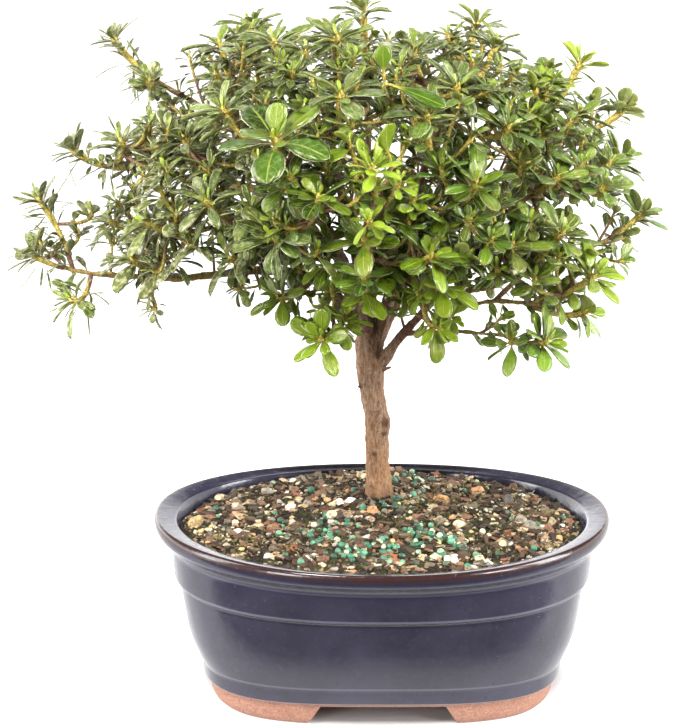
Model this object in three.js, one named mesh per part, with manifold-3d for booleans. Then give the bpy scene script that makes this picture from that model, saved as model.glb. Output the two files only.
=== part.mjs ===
// Satsuki azalea bonsai in a glazed oval pot.
// Millimetres, +Z up. X runs along the pot, the viewer stands on the -Y side.
// Everything is laid out round the middle of the pot's foot, and the whole
// model is moved at the end so that its box stands centred on the origin.

import * as THREE from 'three';
import { mergeVertices } from 'three/addons/utils/BufferGeometryUtils.js';
import Module from 'manifold-3d';

const wasm = await Module();
wasm.setup();

// Pot
const POT_HALF_LENGTH = 101.8;
const POT_HEIGHT = 76.2;
const POT_SEGMENTS = 32;
const WIDTH_RATIO = { foot: 0.8, rim: 0.745 };
const OVAL_POWER = { foot: 3.6, rim: 2.09 };
const RIM_SAG = 2.8;
const FOOT_HEIGHT = 9.5;
const FLOOR_TOP = 16;
const DRAIN_X = 36;
const DRAIN_RADIUS = 6.5;
const LONG_ARCH = { top: 27, bottom: 34 };
const SHORT_ARCH = { top: 13, bottom: 17 };

// Drain screens
const SCREEN_SIZE = 23;
const SCREEN_THICKNESS = 0.9;
const SCREEN_HOLES = 3;
const SCREEN_STRAND = 1.7;

// Soil
const SOIL_HALF_LENGTH = 89.4;
const SOIL_EDGE_Z = 72.5;
const SOIL_MOUND = 9;
const SOIL_MOUND_SPREAD = 36;
const SOIL_GRAIN = 7.2;
const SOIL_SIDES = 40;
const SOIL_SIDES_PER_RING = 5.6;
const SOIL_WANDER = 0.45;
const SOIL_RELIEF = 2.1;
const SOIL_SEED = 11;
const FIT_GAP = 0.35;

// Plant
const TRUNK_X = -1;
const TRUNK_Y = 14;
const TRUNK_BURIED_RADIUS = 6.7;
const TRUNK_FOOT_Z = 42;
const TRUNK_SIDES = 8;
const LIMB_SIDES = 5;
const TWIG_SIDES = 5;
const TWIG_ROOT_RADIUS = 1.15;
const TWIG_MIDDLE_RADIUS = 1;
const TWIG_TIP_RADIUS = 0.9;
const CROWN_CENTRE = new THREE.Vector3(-8, 14, 200);
const LEAF_THICKNESS = 0.66;
const CLEAR = 0.75;
const LEAF_TO_WOOD = 1.35;
const LONGEST_REACH = 45;
const CROWDING_COST = 8;
const SHORTEST_TWIG = 13;
const RISE = 1;
const FOLLOW = 0.4;
const BEND_BACK = 0.42;
const FORK_SHARE = 0.5;
const TWIG_SEED = 101;

const UP = new THREE.Vector3(0, 0, 1);

// The same small generator of random numbers serves the whole plant.
function seeded(seed) {
  let state = seed >>> 0;
  return () => {
    state = (state + 0x6d2b79f5) >>> 0;
    let t = Math.imul(state ^ (state >>> 15), 1 | state);
    t = (t + Math.imul(t ^ (t >>> 7), 61 | t)) ^ t;
    return ((t ^ (t >>> 14)) >>> 0) / 4294967296;
  };
}

function bareGeometry(positions, triangles) {
  const geometry = new THREE.BufferGeometry();
  geometry.setAttribute('position', new THREE.Float32BufferAttribute(positions, 3));
  geometry.setIndex(triangles);
  return geometry;
}

function toSolid(geometry) {
  geometry.deleteAttribute('normal');
  geometry.deleteAttribute('uv');
  const merged = mergeVertices(geometry, 1e-4);
  return new wasm.Manifold(new wasm.Mesh({
    numProp: 3,
    vertProperties: new Float32Array(merged.attributes.position.array),
    triVerts: new Uint32Array(merged.index.array),
  }));
}

function toGeometry(solid) {
  const mesh = solid.getMesh();
  return bareGeometry(Array.from(mesh.vertProperties), Array.from(mesh.triVerts));
}

function namedMesh(name, geometry, colour, roughness) {
  geometry.computeVertexNormals();
  const material = new THREE.MeshStandardMaterial({ color: colour, roughness, metalness: 0 });
  const mesh = new THREE.Mesh(geometry, material);
  mesh.name = name;
  return mesh;
}

// Pot

// The pot's outline is a plain oval at the rim and squarer toward the foot.
function betweenFootAndRim({ foot, rim }, z) {
  return foot + ((rim - foot) * z) / POT_HEIGHT;
}

// The place on the oval of a half length, in a direction and at a height.
function ovalPlace(radius, angle, z) {
  const power = betweenFootAndRim(OVAL_POWER, z);
  const c = Math.abs(Math.cos(angle)) ** power;
  const s = Math.abs(Math.sin(angle)) ** power;
  const reach = radius * (c + s) ** (-1 / power);
  const width = betweenFootAndRim(WIDTH_RATIO, z);
  return [reach * Math.cos(angle), reach * Math.sin(angle) * width];
}

// The clay sagged in the kiln: the rim stands higher at the pot's two ends than
// along its sides, and less so further down.
function sagged(x, z) {
  const share = Math.max(0, (z - FLOOR_TOP) / (POT_HEIGHT - FLOOR_TOP));
  return z + RIM_SAG * share * ((x / POT_HALF_LENGTH) ** 2 - 0.5);
}

// A turned shape becomes oval: every point moves out along its own direction,
// and the width is drawn in.
function makeOval(geometry) {
  const position = geometry.attributes.position;
  for (let i = 0; i < position.count; i += 1) {
    const turnedX = position.getX(i);
    const turnedY = position.getY(i);
    const z = position.getZ(i);
    const [x, y] = ovalPlace(Math.hypot(turnedX, turnedY), Math.atan2(turnedY, turnedX), z);
    position.setXYZ(i, x, y, sagged(x, z));
  }
  return geometry;
}

function ovalSolid(profile) {
  const points = profile.map(([radius, z]) => new THREE.Vector2(radius, z));
  const turned = new THREE.LatheGeometry(points, POT_SEGMENTS);
  turned.rotateX(Math.PI / 2);
  return toSolid(makeOval(turned));
}

// A bar with a tapered section, wide at the bottom, that runs under the pot.
function archCutter(arch, alongX) {
  const section = new THREE.Shape([
    new THREE.Vector2(-arch.bottom, -1),
    new THREE.Vector2(arch.bottom, -1),
    new THREE.Vector2(arch.top, FOOT_HEIGHT),
    new THREE.Vector2(-arch.top, FOOT_HEIGHT),
  ]);
  const length = 3 * POT_HALF_LENGTH;
  const bar = new THREE.ExtrudeGeometry(section, { depth: length, bevelEnabled: false });
  bar.translate(0, 0, -length / 2);
  bar.rotateX(Math.PI / 2);
  if (alongX) {
    bar.rotateZ(Math.PI / 2);
  }
  return toSolid(bar);
}

function makePot() {
  const half = POT_HALF_LENGTH;
  const body = ovalSolid([
    [0, FLOOR_TOP],
    [67, FLOOR_TOP],
    [76.5, 21.5],
    [82, 36],
    [86.5, 66],
    [half - 10, POT_HEIGHT - 1.5],
    [half - 0.8, POT_HEIGHT],
    [half, POT_HEIGHT - 1.1],
    [half, POT_HEIGHT - 3.4],
    [half - 1.1, POT_HEIGHT - 5.7],
    [half - 3.9, POT_HEIGHT - 7.7],
    [half - 6.2, POT_HEIGHT - 9.7],
    [half - 7.1, POT_HEIGHT - 12],
    [half - 8.5, 52.8],
    [half - 11.3, 51.2],
    [89.6, 43],
    [88, 35],
    [85.7, 27],
    [82.6, 21],
    [80.8, 17],
    [80.2, 11.4],
    [78.4, 10.4],
    [76.6, 3],
    [73.5, 0],
    [64.5, 0],
    [64, FOOT_HEIGHT],
    [0, FOOT_HEIGHT],
  ].reverse());
  let pot = body.subtract(archCutter(LONG_ARCH, false)).subtract(archCutter(SHORT_ARCH, true));
  for (const side of [-1, 1]) {
    const drain = new THREE.CylinderGeometry(DRAIN_RADIUS, DRAIN_RADIUS, 20, 12);
    drain.rotateX(Math.PI / 2);
    drain.translate(side * DRAIN_X, 0, (FOOT_HEIGHT + FLOOR_TOP) / 2);
    pot = pot.subtract(toSolid(drain));
  }
  return toGeometry(pot);
}

function makeScreen(side) {
  const plate = new THREE.BoxGeometry(SCREEN_SIZE, SCREEN_SIZE, SCREEN_THICKNESS);
  const pitch = (SCREEN_SIZE - SCREEN_STRAND) / SCREEN_HOLES;
  const hole = pitch - SCREEN_STRAND;
  let screen = toSolid(plate);
  for (let i = 0; i < SCREEN_HOLES; i += 1) {
    for (let j = 0; j < SCREEN_HOLES; j += 1) {
      const punch = new THREE.BoxGeometry(hole, hole, 2 * SCREEN_THICKNESS);
      const first = (1 - SCREEN_HOLES) / 2;
      punch.translate((first + i) * pitch, (first + j) * pitch, 0);
      screen = screen.subtract(toSolid(punch));
    }
  }
  const geometry = toGeometry(screen);
  geometry.translate(side * DRAIN_X, 0, FLOOR_TOP + FIT_GAP + SCREEN_THICKNESS / 2);
  return geometry;
}

// Soil

function soilHeight(x, y) {
  const away = Math.hypot(x - TRUNK_X, y - TRUNK_Y) / SOIL_MOUND_SPREAD;
  return sagged(x, SOIL_EDGE_Z) + SOIL_MOUND * Math.exp(-0.5 * away * away);
}

// The soil fills the pot and carries its grit as relief: rings of points on
// the top, each raised or sunk by a random share of a grain.
function makeSoil() {
  const random = seeded(SOIL_SEED);
  const rings = Math.round(SOIL_HALF_LENGTH / SOIL_GRAIN);
  const positions = [];
  const triangles = [];
  const starts = [];
  const counts = [];
  for (let ring = 0; ring <= rings; ring += 1) {
    const inner = Math.max(1, Math.round(SOIL_SIDES_PER_RING * ring));
    const count = ring === rings ? SOIL_SIDES : inner;
    starts.push(positions.length / 3);
    counts.push(count);
    for (let k = 0; k < count; k += 1) {
      const angle = (2 * Math.PI * (k + 0.5 * (ring % 2))) / count;
      const edge = ring === rings;
      const wander = edge ? 0 : (random() - 0.5) * SOIL_WANDER;
      const radius = (SOIL_HALF_LENGTH * (ring + wander)) / rings;
      const [x, y] = ovalPlace(radius, angle, SOIL_EDGE_Z);
      const bump = edge ? 0 : (random() - 0.4) * 2 * SOIL_RELIEF;
      positions.push(x, y, soilHeight(x, y) + bump);
    }
  }
  for (let ring = 0; ring < rings; ring += 1) {
    zipRings(triangles, starts[ring], counts[ring], starts[ring + 1], counts[ring + 1]);
  }
  const edgeCount = counts[rings];
  const wall = [[85.4, 66], [80.6, 36.5], [74.4, 22.8], [65, FLOOR_TOP + FIT_GAP]];
  let previous = starts[rings];
  for (const [radius, z] of wall) {
    const start = positions.length / 3;
    for (let k = 0; k < edgeCount; k += 1) {
      const angle = (2 * Math.PI * (k + 0.5 * (rings % 2))) / edgeCount;
      const [x, y] = ovalPlace(radius, angle, z);
      positions.push(x, y, sagged(x, z));
    }
    for (let k = 0; k < edgeCount; k += 1) {
      const next = (k + 1) % edgeCount;
      triangles.push(previous + k, start + k, start + next);
      triangles.push(previous + k, start + next, previous + next);
    }
    previous = start;
  }
  const middle = positions.length / 3;
  positions.push(0, 0, FLOOR_TOP + FIT_GAP);
  for (let k = 0; k < edgeCount; k += 1) {
    triangles.push(previous + k, middle, previous + ((k + 1) % edgeCount));
  }
  let soil = toSolid(bareGeometry(positions, triangles));
  for (const stone of STONES) {
    soil = soil.add(makeStone(stone, random));
  }
  const hole = new THREE.CylinderGeometry(
    TRUNK_BURIED_RADIUS + FIT_GAP, TRUNK_BURIED_RADIUS + FIT_GAP, 60, TRUNK_SIDES,
  );
  hole.rotateX(Math.PI / 2);
  hole.translate(TRUNK_X, TRUNK_Y, TRUNK_FOOT_Z - FIT_GAP + 30);
  soil = soil.subtract(toSolid(hole));
  const room = SCREEN_SIZE + 2 * FIT_GAP;
  for (const side of [-1, 1]) {
    const pocket = new THREE.BoxGeometry(room, room, 2 * (SCREEN_THICKNESS + 2 * FIT_GAP));
    pocket.translate(side * DRAIN_X, 0, FLOOR_TOP);
    soil = soil.subtract(toSolid(pocket));
  }
  return toGeometry(soil);
}

// Joins an inner ring of points to an outer ring that may have more points.
function zipRings(triangles, innerStart, innerCount, outerStart, outerCount) {
  if (innerCount === 1) {
    for (let k = 0; k < outerCount; k += 1) {
      triangles.push(innerStart, outerStart + k, outerStart + ((k + 1) % outerCount));
    }
    return;
  }
  let i = 0;
  let o = 0;
  while (i < innerCount || o < outerCount) {
    const inner = innerStart + (i % innerCount);
    const outer = outerStart + (o % outerCount);
    if (i * outerCount < o * innerCount && i < innerCount || o === outerCount) {
      triangles.push(inner, outer, innerStart + ((i + 1) % innerCount));
      i += 1;
    } else {
      triangles.push(inner, outer, outerStart + ((o + 1) % outerCount));
      o += 1;
    }
  }
}

// The biggest stones, by their place in plan and their size.
const STONES = [
  [-74, -6, 9], [-58, -30, 7.5], [-36, -14, 8], [6, -48, 8], [24, -30, 9],
  [46, -14, 8.5], [62, -22, 9.5], [40, 24, 8], [-46, 30, 8.5], [-14, 46, 8],
];

function makeStone([x, y, size], random) {
  const stone = new THREE.IcosahedronGeometry(size / 2, 0);
  stone.scale(1, 0.7 + 0.25 * random(), 0.55 + 0.15 * random());
  stone.rotateZ(Math.PI * random());
  stone.translate(x, y, soilHeight(x, y) + 0.12 * size);
  return toSolid(stone);
}

// Trunk and limbs, each a line of points [x, y, z, radius] from its root out.
const TRUNK = [
  [-1, 14, TRUNK_FOOT_Z, TRUNK_BURIED_RADIUS],
  [-1, 14, 80, TRUNK_BURIED_RADIUS],
  [-1, 14, 84, 6.2],
  [-1.6, 14, 92, 5.6],
  [-2, 14, 116, 5.3],
  [-4.5, 14, 129, 5.3],
  [-5.5, 14, 141, 5.9],
  [-6.2, 14, 152, 5.9],
  [-5.4, 14, 160, 4.6],
];

const LIMBS = [
  [[-6, 14, 154, 4], [-25, 8, 180, 2.9], [-38, 4, 186, 2.5], [-56, 0, 188, 2.1],
    [-90, -8, 186, 1.7], [-126, -10, 189, 1.3], [-138, -8, 191, 1.2]],
  [[-25, 8, 180, 2.4], [-36, -8, 200, 2], [-58, -16, 217, 1.7], [-80, -12, 229, 1.4],
    [-96, -2, 235, 1.2]],
  [[-6, 13, 152, 4], [-12, 13, 176, 3.2], [-22, 8, 201, 2.6], [-41, 2, 229, 2.1],
    [-62, 5, 250, 1.7], [-84, 13, 261, 1.3]],
  [[-12, 13, 176, 2.4], [-21, -15, 203, 1.9], [-32, -35, 226, 1.6], [-37, -48, 240, 1.3]],
  [[-5, 14, 152, 3.8], [-9, 15, 180, 3], [-15, 10, 207, 2.5], [-22, 6, 237, 1.9],
    [-26, 2, 262, 1.4]],
  [[-4, 14, 146, 4], [2, 12, 169, 3.3], [7, 8, 192, 2.7], [15, 0, 225, 2.1],
    [23, -10, 252, 1.6], [26, -18, 262, 1.3]],
  [[7, 8, 192, 2.2], [24, 5, 206, 1.9], [46, 3, 224, 1.6], [63, 5, 241, 1.3]],
  [[-4, 14, 138, 2.9], [9, 8, 157, 2.3], [24, 0, 176, 1.9], [47, -5, 182, 1.5],
    [69, -8, 191, 1.3], [98, 0, 202, 1.1]],
  [[24, 0, 176, 1.6], [30, -8, 173, 1.4], [48, -14, 178, 1.3], [68, -17, 177, 1.1]],
  [[9, 8, 157, 1.5], [18, -2, 161, 1.2], [36, -14, 164, 1.1], [52, -24, 165, 1]],
  [[2, 12, 169, 2.4], [4, -15, 188, 1.8], [3, -45, 204, 1.4]],
  [[7, 8, 192, 2.1], [20, -20, 212, 1.6], [28, -44, 228, 1.3]],
  [[-5.5, 15, 150, 3.4], [-22, 38, 190, 2.4], [-55, 58, 212, 1.8], [-86, 55, 222, 1.4]],
  [[-4, 16, 154, 3.4], [-6, 42, 195, 2.4], [-6, 66, 222, 1.8], [-5, 74, 246, 1.4]],
  [[-4, 15, 146, 3.2], [16, 38, 186, 2.3], [48, 54, 210, 1.7], [80, 48, 222, 1.3]],
  [[-5, 12, 156, 2.2], [-10, -8, 173, 1.5], [-12, -22, 178, 1.2]],
];

// Every leafy shoot: its name, the place of its tip, the length and width of
// its leaves, and the shoot that it branches from where it isn't a limb.
const SHOOTS = [
  ['left_1', [-152, -6, 197], 15, 5.6],
  ['left_2', [-149, 0, 220], 15, 5.6],
  ['left_3', [-136, 12, 240], 15, 5.6],
  ['left_4', [-133, -22, 180], 15, 6],
  ['left_5', [-107, -20, 198], 17, 6.4],
  ['left_6', [-99, -38, 218], 17, 6.4],
  ['left_7', [-112, -6, 246], 15, 5.6, 'left_3'],
  ['left_8', [-73, -52, 229], 17, 6.6],
  ['left_9', [-84, -22, 250], 16, 6],
  ['upper_left_1', [-117, 20, 287], 12, 5],
  ['upper_left_2', [-100, -4, 272], 12, 5.4, 'upper_left_1'],
  ['upper_left_3', [-70, 5, 286], 16, 6.4],
  ['upper_left_4', [-66, -45, 266], 18, 7],
  ['upper_left_5', [-46, -22, 291], 16, 6],
  ['top_1', [-20, -16, 292], 16, 6.4],
  ['top_2', [12, -20, 287], 16, 6.4],
  ['top_3', [29, -48, 276], 16, 6.6, 'top_2'],
  ['top_4', [48, 0, 287], 15, 6],
  ['front_1', [-44, -76, 259], 24, 11],
  ['front_2', [-45, -72, 219], 20, 8],
  ['front_3', [-6, -84, 250], 17, 8],
  ['front_4', [-9, -80, 220], 17, 7.4],
  ['front_5', [18, -74, 212], 17, 7.4, 'front_4'],
  ['front_6', [16, -70, 268], 18, 7.4],
  ['front_7', [36, -68, 240], 19, 8],
  ['front_8', [-27, -84, 238], 15, 6.6, 'front_2'],
  ['front_9', [-18, -62, 275], 18, 7.4],
  ['front_10', [-64, -45, 204], 16, 6.4],
  ['low_1', [-27, -38, 167], 16, 7],
  ['low_2', [-45, -22, 182], 15, 6.4],
  ['low_3', [-8, -40, 189], 15, 7],
  ['low_4', [25, -46, 193], 16, 7],
  ['low_5', [23, -28, 170], 15, 7, 'low_4'],
  ['right_1', [65, 0, 267], 15, 6.6],
  ['right_2', [86, 18, 277], 15, 6],
  ['right_3', [84, 2, 257], 15, 6],
  ['right_4', [106, 22, 256], 15, 6, 'right_3'],
  ['right_5', [97, -2, 236], 16, 6],
  ['right_6', [73, -24, 234], 18, 7],
  ['right_7', [74, -38, 213], 17, 7],
  ['right_8', [89, -30, 193], 17, 6.6],
  ['right_9', [113, 6, 212], 15, 6],
  ['right_10', [88, -14, 173], 15, 6.4],
  ['right_11', [69, -34, 165], 17, 7.6],
  ['right_12', [52, -54, 212], 16, 7, 'right_7'],
  ['right_13', [51, -40, 258], 17, 7],
  ['back_1', [-110, 46, 238], 16, 6.4],
  ['back_2', [-74, 74, 262], 17, 7],
  ['back_3', [-22, 86, 276], 17, 7],
  ['back_4', [34, 82, 272], 17, 7],
  ['back_5', [78, 62, 256], 16, 7],
  ['back_6', [108, 44, 230], 16, 6.4],
  ['back_7', [-122, 38, 202], 16, 6.4],
  ['back_8', [-82, 84, 218], 17, 7],
  ['back_9', [-32, 108, 236], 17, 7],
  ['back_10', [26, 108, 230], 17, 7],
  ['back_11', [72, 86, 210], 17, 7],
  ['back_12', [-46, 86, 188], 16, 6.6],
  ['back_13', [10, 92, 190], 16, 6.6],
  ['back_14', [56, 60, 184], 16, 6.6],
  ['back_15', [-58, 42, 290], 16, 6.4],
  ['back_16', [-8, 42, 296], 16, 6.4],
  ['back_17', [42, 42, 290], 16, 6.4],
];

// The shape of a shoot. Heights are measured back from its tip.
const SIDE_RING = [9.6, 8.6];
const LOWER_RING = [2.9, 1.9];
const UPPER_RING = [0.9, 0];
const BUD_LENGTH = 2.2;
const LEAFY_STEM_SPAN = 22;
const LONG_TWIG = 24;
const ROOT_STEP = 0.15;
const PLUG_LENGTH = 0.6;
const SAME_ROOT = 3;
const FIFTH = (2 * Math.PI) / TWIG_SIDES;

const asVector = ([x, y, z]) => new THREE.Vector3(x, y, z);

// The point of a limb from which a tip is reached by the straightest short
// way: near, and ahead along the limb. A place that already bears a twig is
// taken only where the next best one is much farther.
function findRoot(tip, taken) {
  let best = null;
  for (const limb of LIMBS) {
    for (let i = 0; i + 1 < limb.length; i += 1) {
      const a = asVector(limb[i]);
      const b = asVector(limb[i + 1]);
      const along = b.clone().sub(a).normalize();
      for (const share of [0.3, 0.65, 1]) {
        const point = a.clone().lerp(b, share);
        const way = tip.clone().sub(point);
        const distance = way.length();
        const crowding = taken.filter((other) => other.distanceTo(point) < 1).length;
        const cost = distance * (1.7 - way.dot(along) / distance) + CROWDING_COST * crowding;
        if (distance > SHORTEST_TWIG && (best === null || cost < best.cost)) {
          best = { cost, point };
        }
      }
    }
  }
  taken.push(best.point);
  return best.point;
}

function makePlan() {
  const plan = new Map();
  const taken = [];
  for (const [name, place, leafLength, leafWidth, parent] of SHOOTS) {
    const tip = asVector(place);
    const axis = tip.clone().sub(CROWN_CENTRE).normalize();
    const root = parent ? plan.get(parent).at(FORK_SHARE) : findRoot(tip, taken);
    const span = tip.distanceTo(root);
    const straight = tip.clone().sub(root).normalize();
    axis.addScaledVector(UP, RISE).addScaledVector(straight, FOLLOW).normalize();
    const bend = tip.clone().addScaledVector(axis, -BEND_BACK * span);
    const curve = new THREE.QuadraticBezierCurve3(root, bend, tip);
    const side = Math.abs(axis.z) < 0.8 ? UP : new THREE.Vector3(1, 0, 0);
    plan.set(name, {
      name,
      parent,
      tip,
      axis,
      leafLength,
      leafWidth,
      leafyStem: name.includes('left') && span > LEAFY_STEM_SPAN,
      span,
      across: axis.clone().cross(side).normalize(),
      at: (share) => curve.getPoint(share),
      along: (share) => curve.getTangent(share),
    });
  }
  return plan;
}

// A tube with flat ends through rings of the same number of sides. A ring is
// { centre, along, radius, twist }.
function ringPoints(ring, across, sides) {
  const u = across.clone().addScaledVector(ring.along, -across.dot(ring.along)).normalize();
  const v = ring.along.clone().cross(u);
  return Array.from({ length: sides }, (_, k) => {
    const angle = ring.twist + (2 * Math.PI * k) / sides;
    return ring.centre.clone()
      .addScaledVector(u, ring.radius * Math.cos(angle))
      .addScaledVector(v, ring.radius * Math.sin(angle));
  });
}

function tubeSolid(line, sides) {
  const points = line.map(asVector);
  const ends = points[points.length - 1].clone().sub(points[0]).normalize();
  const across = Math.abs(ends.x) < 0.7 ? new THREE.Vector3(1, 0, 0) : UP.clone();
  const corners = [];
  points.forEach((centre, i) => {
    const before = points[Math.max(i - 1, 0)];
    const after = points[Math.min(i + 1, points.length - 1)];
    const along = after.clone().sub(before).normalize();
    corners.push(...ringPoints({ centre, along, radius: line[i][3], twist: 0 }, across, sides));
  });
  const triangles = [];
  for (let i = 0; i + 1 < points.length; i += 1) {
    for (let k = 0; k < sides; k += 1) {
      const a = i * sides + k;
      const b = i * sides + ((k + 1) % sides);
      triangles.push(a, b, b + sides, a, b + sides, a + sides);
    }
  }
  const last = (points.length - 1) * sides;
  for (let k = 1; k + 1 < sides; k += 1) {
    triangles.push(0, k + 1, k, last, last + k, last + k + 1);
  }
  return toSolid(bareGeometry(corners.flatMap((p) => p.toArray()), triangles));
}

// A twig's flat foot comes as near to the bark as the fit allows: the foot moves
// out along the twig until a short plug round it no longer cuts the wood, or a
// twig that stands beside it.
function rootShare(shoot, obstacles) {
  const step = ROOT_STEP / shoot.span;
  const radius = TWIG_ROOT_RADIUS + 0.5 * FIT_GAP;
  for (let share = 0; share < 0.5; share += step) {
    const foot = [...shoot.at(share), radius];
    const head = [...shoot.at(share + PLUG_LENGTH / shoot.span), radius];
    const plug = tubeSolid([foot, head], TWIG_SIDES);
    if (obstacles.every((obstacle) => obstacle.intersect(plug).isEmpty())) {
      return share + (0.5 * FIT_GAP) / shoot.span;
    }
  }
  return 0.5;
}

function makeTrunk() {
  let trunk = tubeSolid(TRUNK, TRUNK_SIDES);
  for (const limb of LIMBS) {
    trunk = trunk.add(tubeSolid(limb, LIMB_SIDES));
  }
  return trunk;
}

// Leaves

// A leaf is narrow at its foot, widest past its middle and arched outwards. It
// starts from a side of the shoot, whose four corners are its foot.
const LEAF_STATIONS = [
  { share: 0.45, width: 0.43, thickness: LEAF_THICKNESS + 0.08 },
  { share: 0.8, width: 0.42, thickness: LEAF_THICKNESS },
];
const LEAF_ARCH = 0.16;

// Ways to bend a leaf clear of what is near it: [raise, turn, length].
const BENDS = [[0, 0, 1], [14, 0, 1], [-14, 0, 1], [0, 14, 0.9], [0, -14, 0.9], [10, 0, 0.72]];

function leafPoints(foot, axis, outward, leaf, bend) {
  const [raise, turn, scale] = bend;
  const heading = outward.clone().applyAxisAngle(axis, THREE.MathUtils.degToRad(turn));
  const angle = THREE.MathUtils.degToRad(leaf.raise + raise);
  const way = heading.multiplyScalar(Math.cos(angle)).addScaledVector(axis, Math.sin(angle));
  way.addScaledVector(UP, leaf.lift).normalize();
  const face = axis.clone().addScaledVector(way, -axis.dot(way)).normalize();
  const across = face.clone().cross(way);
  const length = leaf.length * scale;
  const sections = LEAF_STATIONS.map(({ share, width, thickness }) => {
    const centre = foot.clone()
      .addScaledVector(way, share * length)
      .addScaledVector(face, -LEAF_ARCH * share * share * length);
    const normal = face.clone().addScaledVector(way, 2 * LEAF_ARCH * share).normalize();
    const corner = (sideways, upwards) => centre.clone()
      .addScaledVector(across, sideways * width * leaf.width)
      .addScaledVector(normal, upwards * 0.5 * thickness);
    return [corner(-1, -1), corner(1, -1), corner(1, 1), corner(-1, 1)];
  });
  const tip = foot.clone()
    .addScaledVector(way, length)
    .addScaledVector(face, -LEAF_ARCH * length);
  return { sections, tip };
}

// A leaf keeps to its own shoot's share of the crown: nearer to its tip than to
// any other tip, and clear of every limb and twig but its own.
function isClear({ sections, tip }, foot, shoot, plan, rods) {
  const corners = [...sections.flat(), tip];
  for (const other of plan.values()) {
    if (other !== shoot) {
      const way = other.tip.clone().sub(shoot.tip);
      const half = 0.5 * way.length() - 0.5 * CLEAR;
      way.normalize();
      if (corners.some((corner) => corner.clone().sub(shoot.tip).dot(way) > half)) {
        return false;
      }
    }
  }
  const probes = [];
  const middles = sections.map((s) => s[0].clone().add(s[2]).multiplyScalar(0.5));
  const spine = [foot, middles[0], middles[0].clone().lerp(middles[1], 0.5), middles[1], tip];
  probes.push(foot.clone().lerp(middles[0], 0.35), foot.clone().lerp(middles[0], 0.7));
  probes.push(...spine.slice(1), middles[1].clone().lerp(tip, 0.5));
  for (const section of sections) {
    const [a, b] = section;
    probes.push(a, b, a.clone().lerp(b, 0.25), a.clone().lerp(b, 0.75));
  }
  probes.push(sections[0][0].clone().lerp(sections[1][0], 0.5));
  probes.push(sections[0][1].clone().lerp(sections[1][1], 0.5));
  probes.push(sections[0][0].clone().lerp(foot, 0.4), sections[0][1].clone().lerp(foot, 0.4));
  const nearest = new THREE.Vector3();
  for (const rod of rods) {
    if (rod.owner !== shoot.name && rod.middle.distanceTo(shoot.tip) < rod.reach) {
      for (const probe of probes) {
        rod.line.closestPointToPoint(probe, true, nearest);
        if (nearest.distanceTo(probe) < rod.radius + LEAF_TO_WOOD) {
          return false;
        }
      }
    }
  }
  return true;
}

function makeRods(plan) {
  const rods = [];
  const addRod = (a, b, radius, owner) => {
    const line = new THREE.Line3(a, b);
    const middle = line.getCenter(new THREE.Vector3());
    rods.push({ line, middle, radius, owner, reach: LONGEST_REACH + line.distance() / 2 });
  };
  for (const limb of [TRUNK, ...LIMBS]) {
    for (let i = 0; i + 1 < limb.length; i += 1) {
      addRod(asVector(limb[i]), asVector(limb[i + 1]), limb[i][3], 'limb');
    }
  }
  for (const shoot of plan.values()) {
    for (const share of [0, 0.25, 0.5, 0.75]) {
      addRod(shoot.at(share), shoot.at(share + 0.25), TWIG_ROOT_RADIUS, shoot.name);
    }
  }
  return rods;
}

// Rings of a shoot from its root to its tip, each with the leaves that stand on
// the sides above it.
function shootRings(shoot, start, random) {
  const twist = random() * FIFTH;
  const back = (distance) => 1 - distance / shoot.span;
  const ring = (share, radius, turn, leaves = []) => ({
    centre: shoot.at(share),
    along: shoot.along(share),
    radius,
    twist: twist + turn,
    leaves,
  });
  const leaf = (raise, length, width) => ({
    raise: raise + (random() - 0.5) * 16,
    lift: 0.12,
    length: shoot.leafLength * length * (0.88 + 0.24 * random()),
    width: shoot.leafWidth * width * (0.9 + 0.2 * random()),
  });
  const rings = [ring(start, TWIG_ROOT_RADIUS, 0)];
  if (shoot.leafyStem) {
    const sides = [leaf(14, 0.86, 0.9), null, leaf(14, 0.86, 0.9), null, null];
    rings.push(ring(back(SIDE_RING[0]), TWIG_MIDDLE_RADIUS, 0, sides));
    rings.push(ring(back(SIDE_RING[1]), TWIG_MIDDLE_RADIUS, 0));
  } else if ((1 - start) * shoot.span > LONG_TWIG) {
    rings.push(ring((1 + start) / 2, TWIG_MIDDLE_RADIUS, 0));
  }
  const lower = Array.from({ length: TWIG_SIDES }, () => leaf(21, 1, 1));
  rings.push(ring(back(LOWER_RING[0]), TWIG_TIP_RADIUS, 0, lower));
  rings.push(ring(back(LOWER_RING[1]), TWIG_TIP_RADIUS, 0));
  const upper = [leaf(56, 0.7, 0.72), null, null, leaf(56, 0.7, 0.72), null];
  rings.push(ring(back(UPPER_RING[0]), 0.82, FIFTH / 2, upper));
  rings.push(ring(back(UPPER_RING[1]), 0.75, FIFTH / 2));
  return rings;
}

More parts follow.
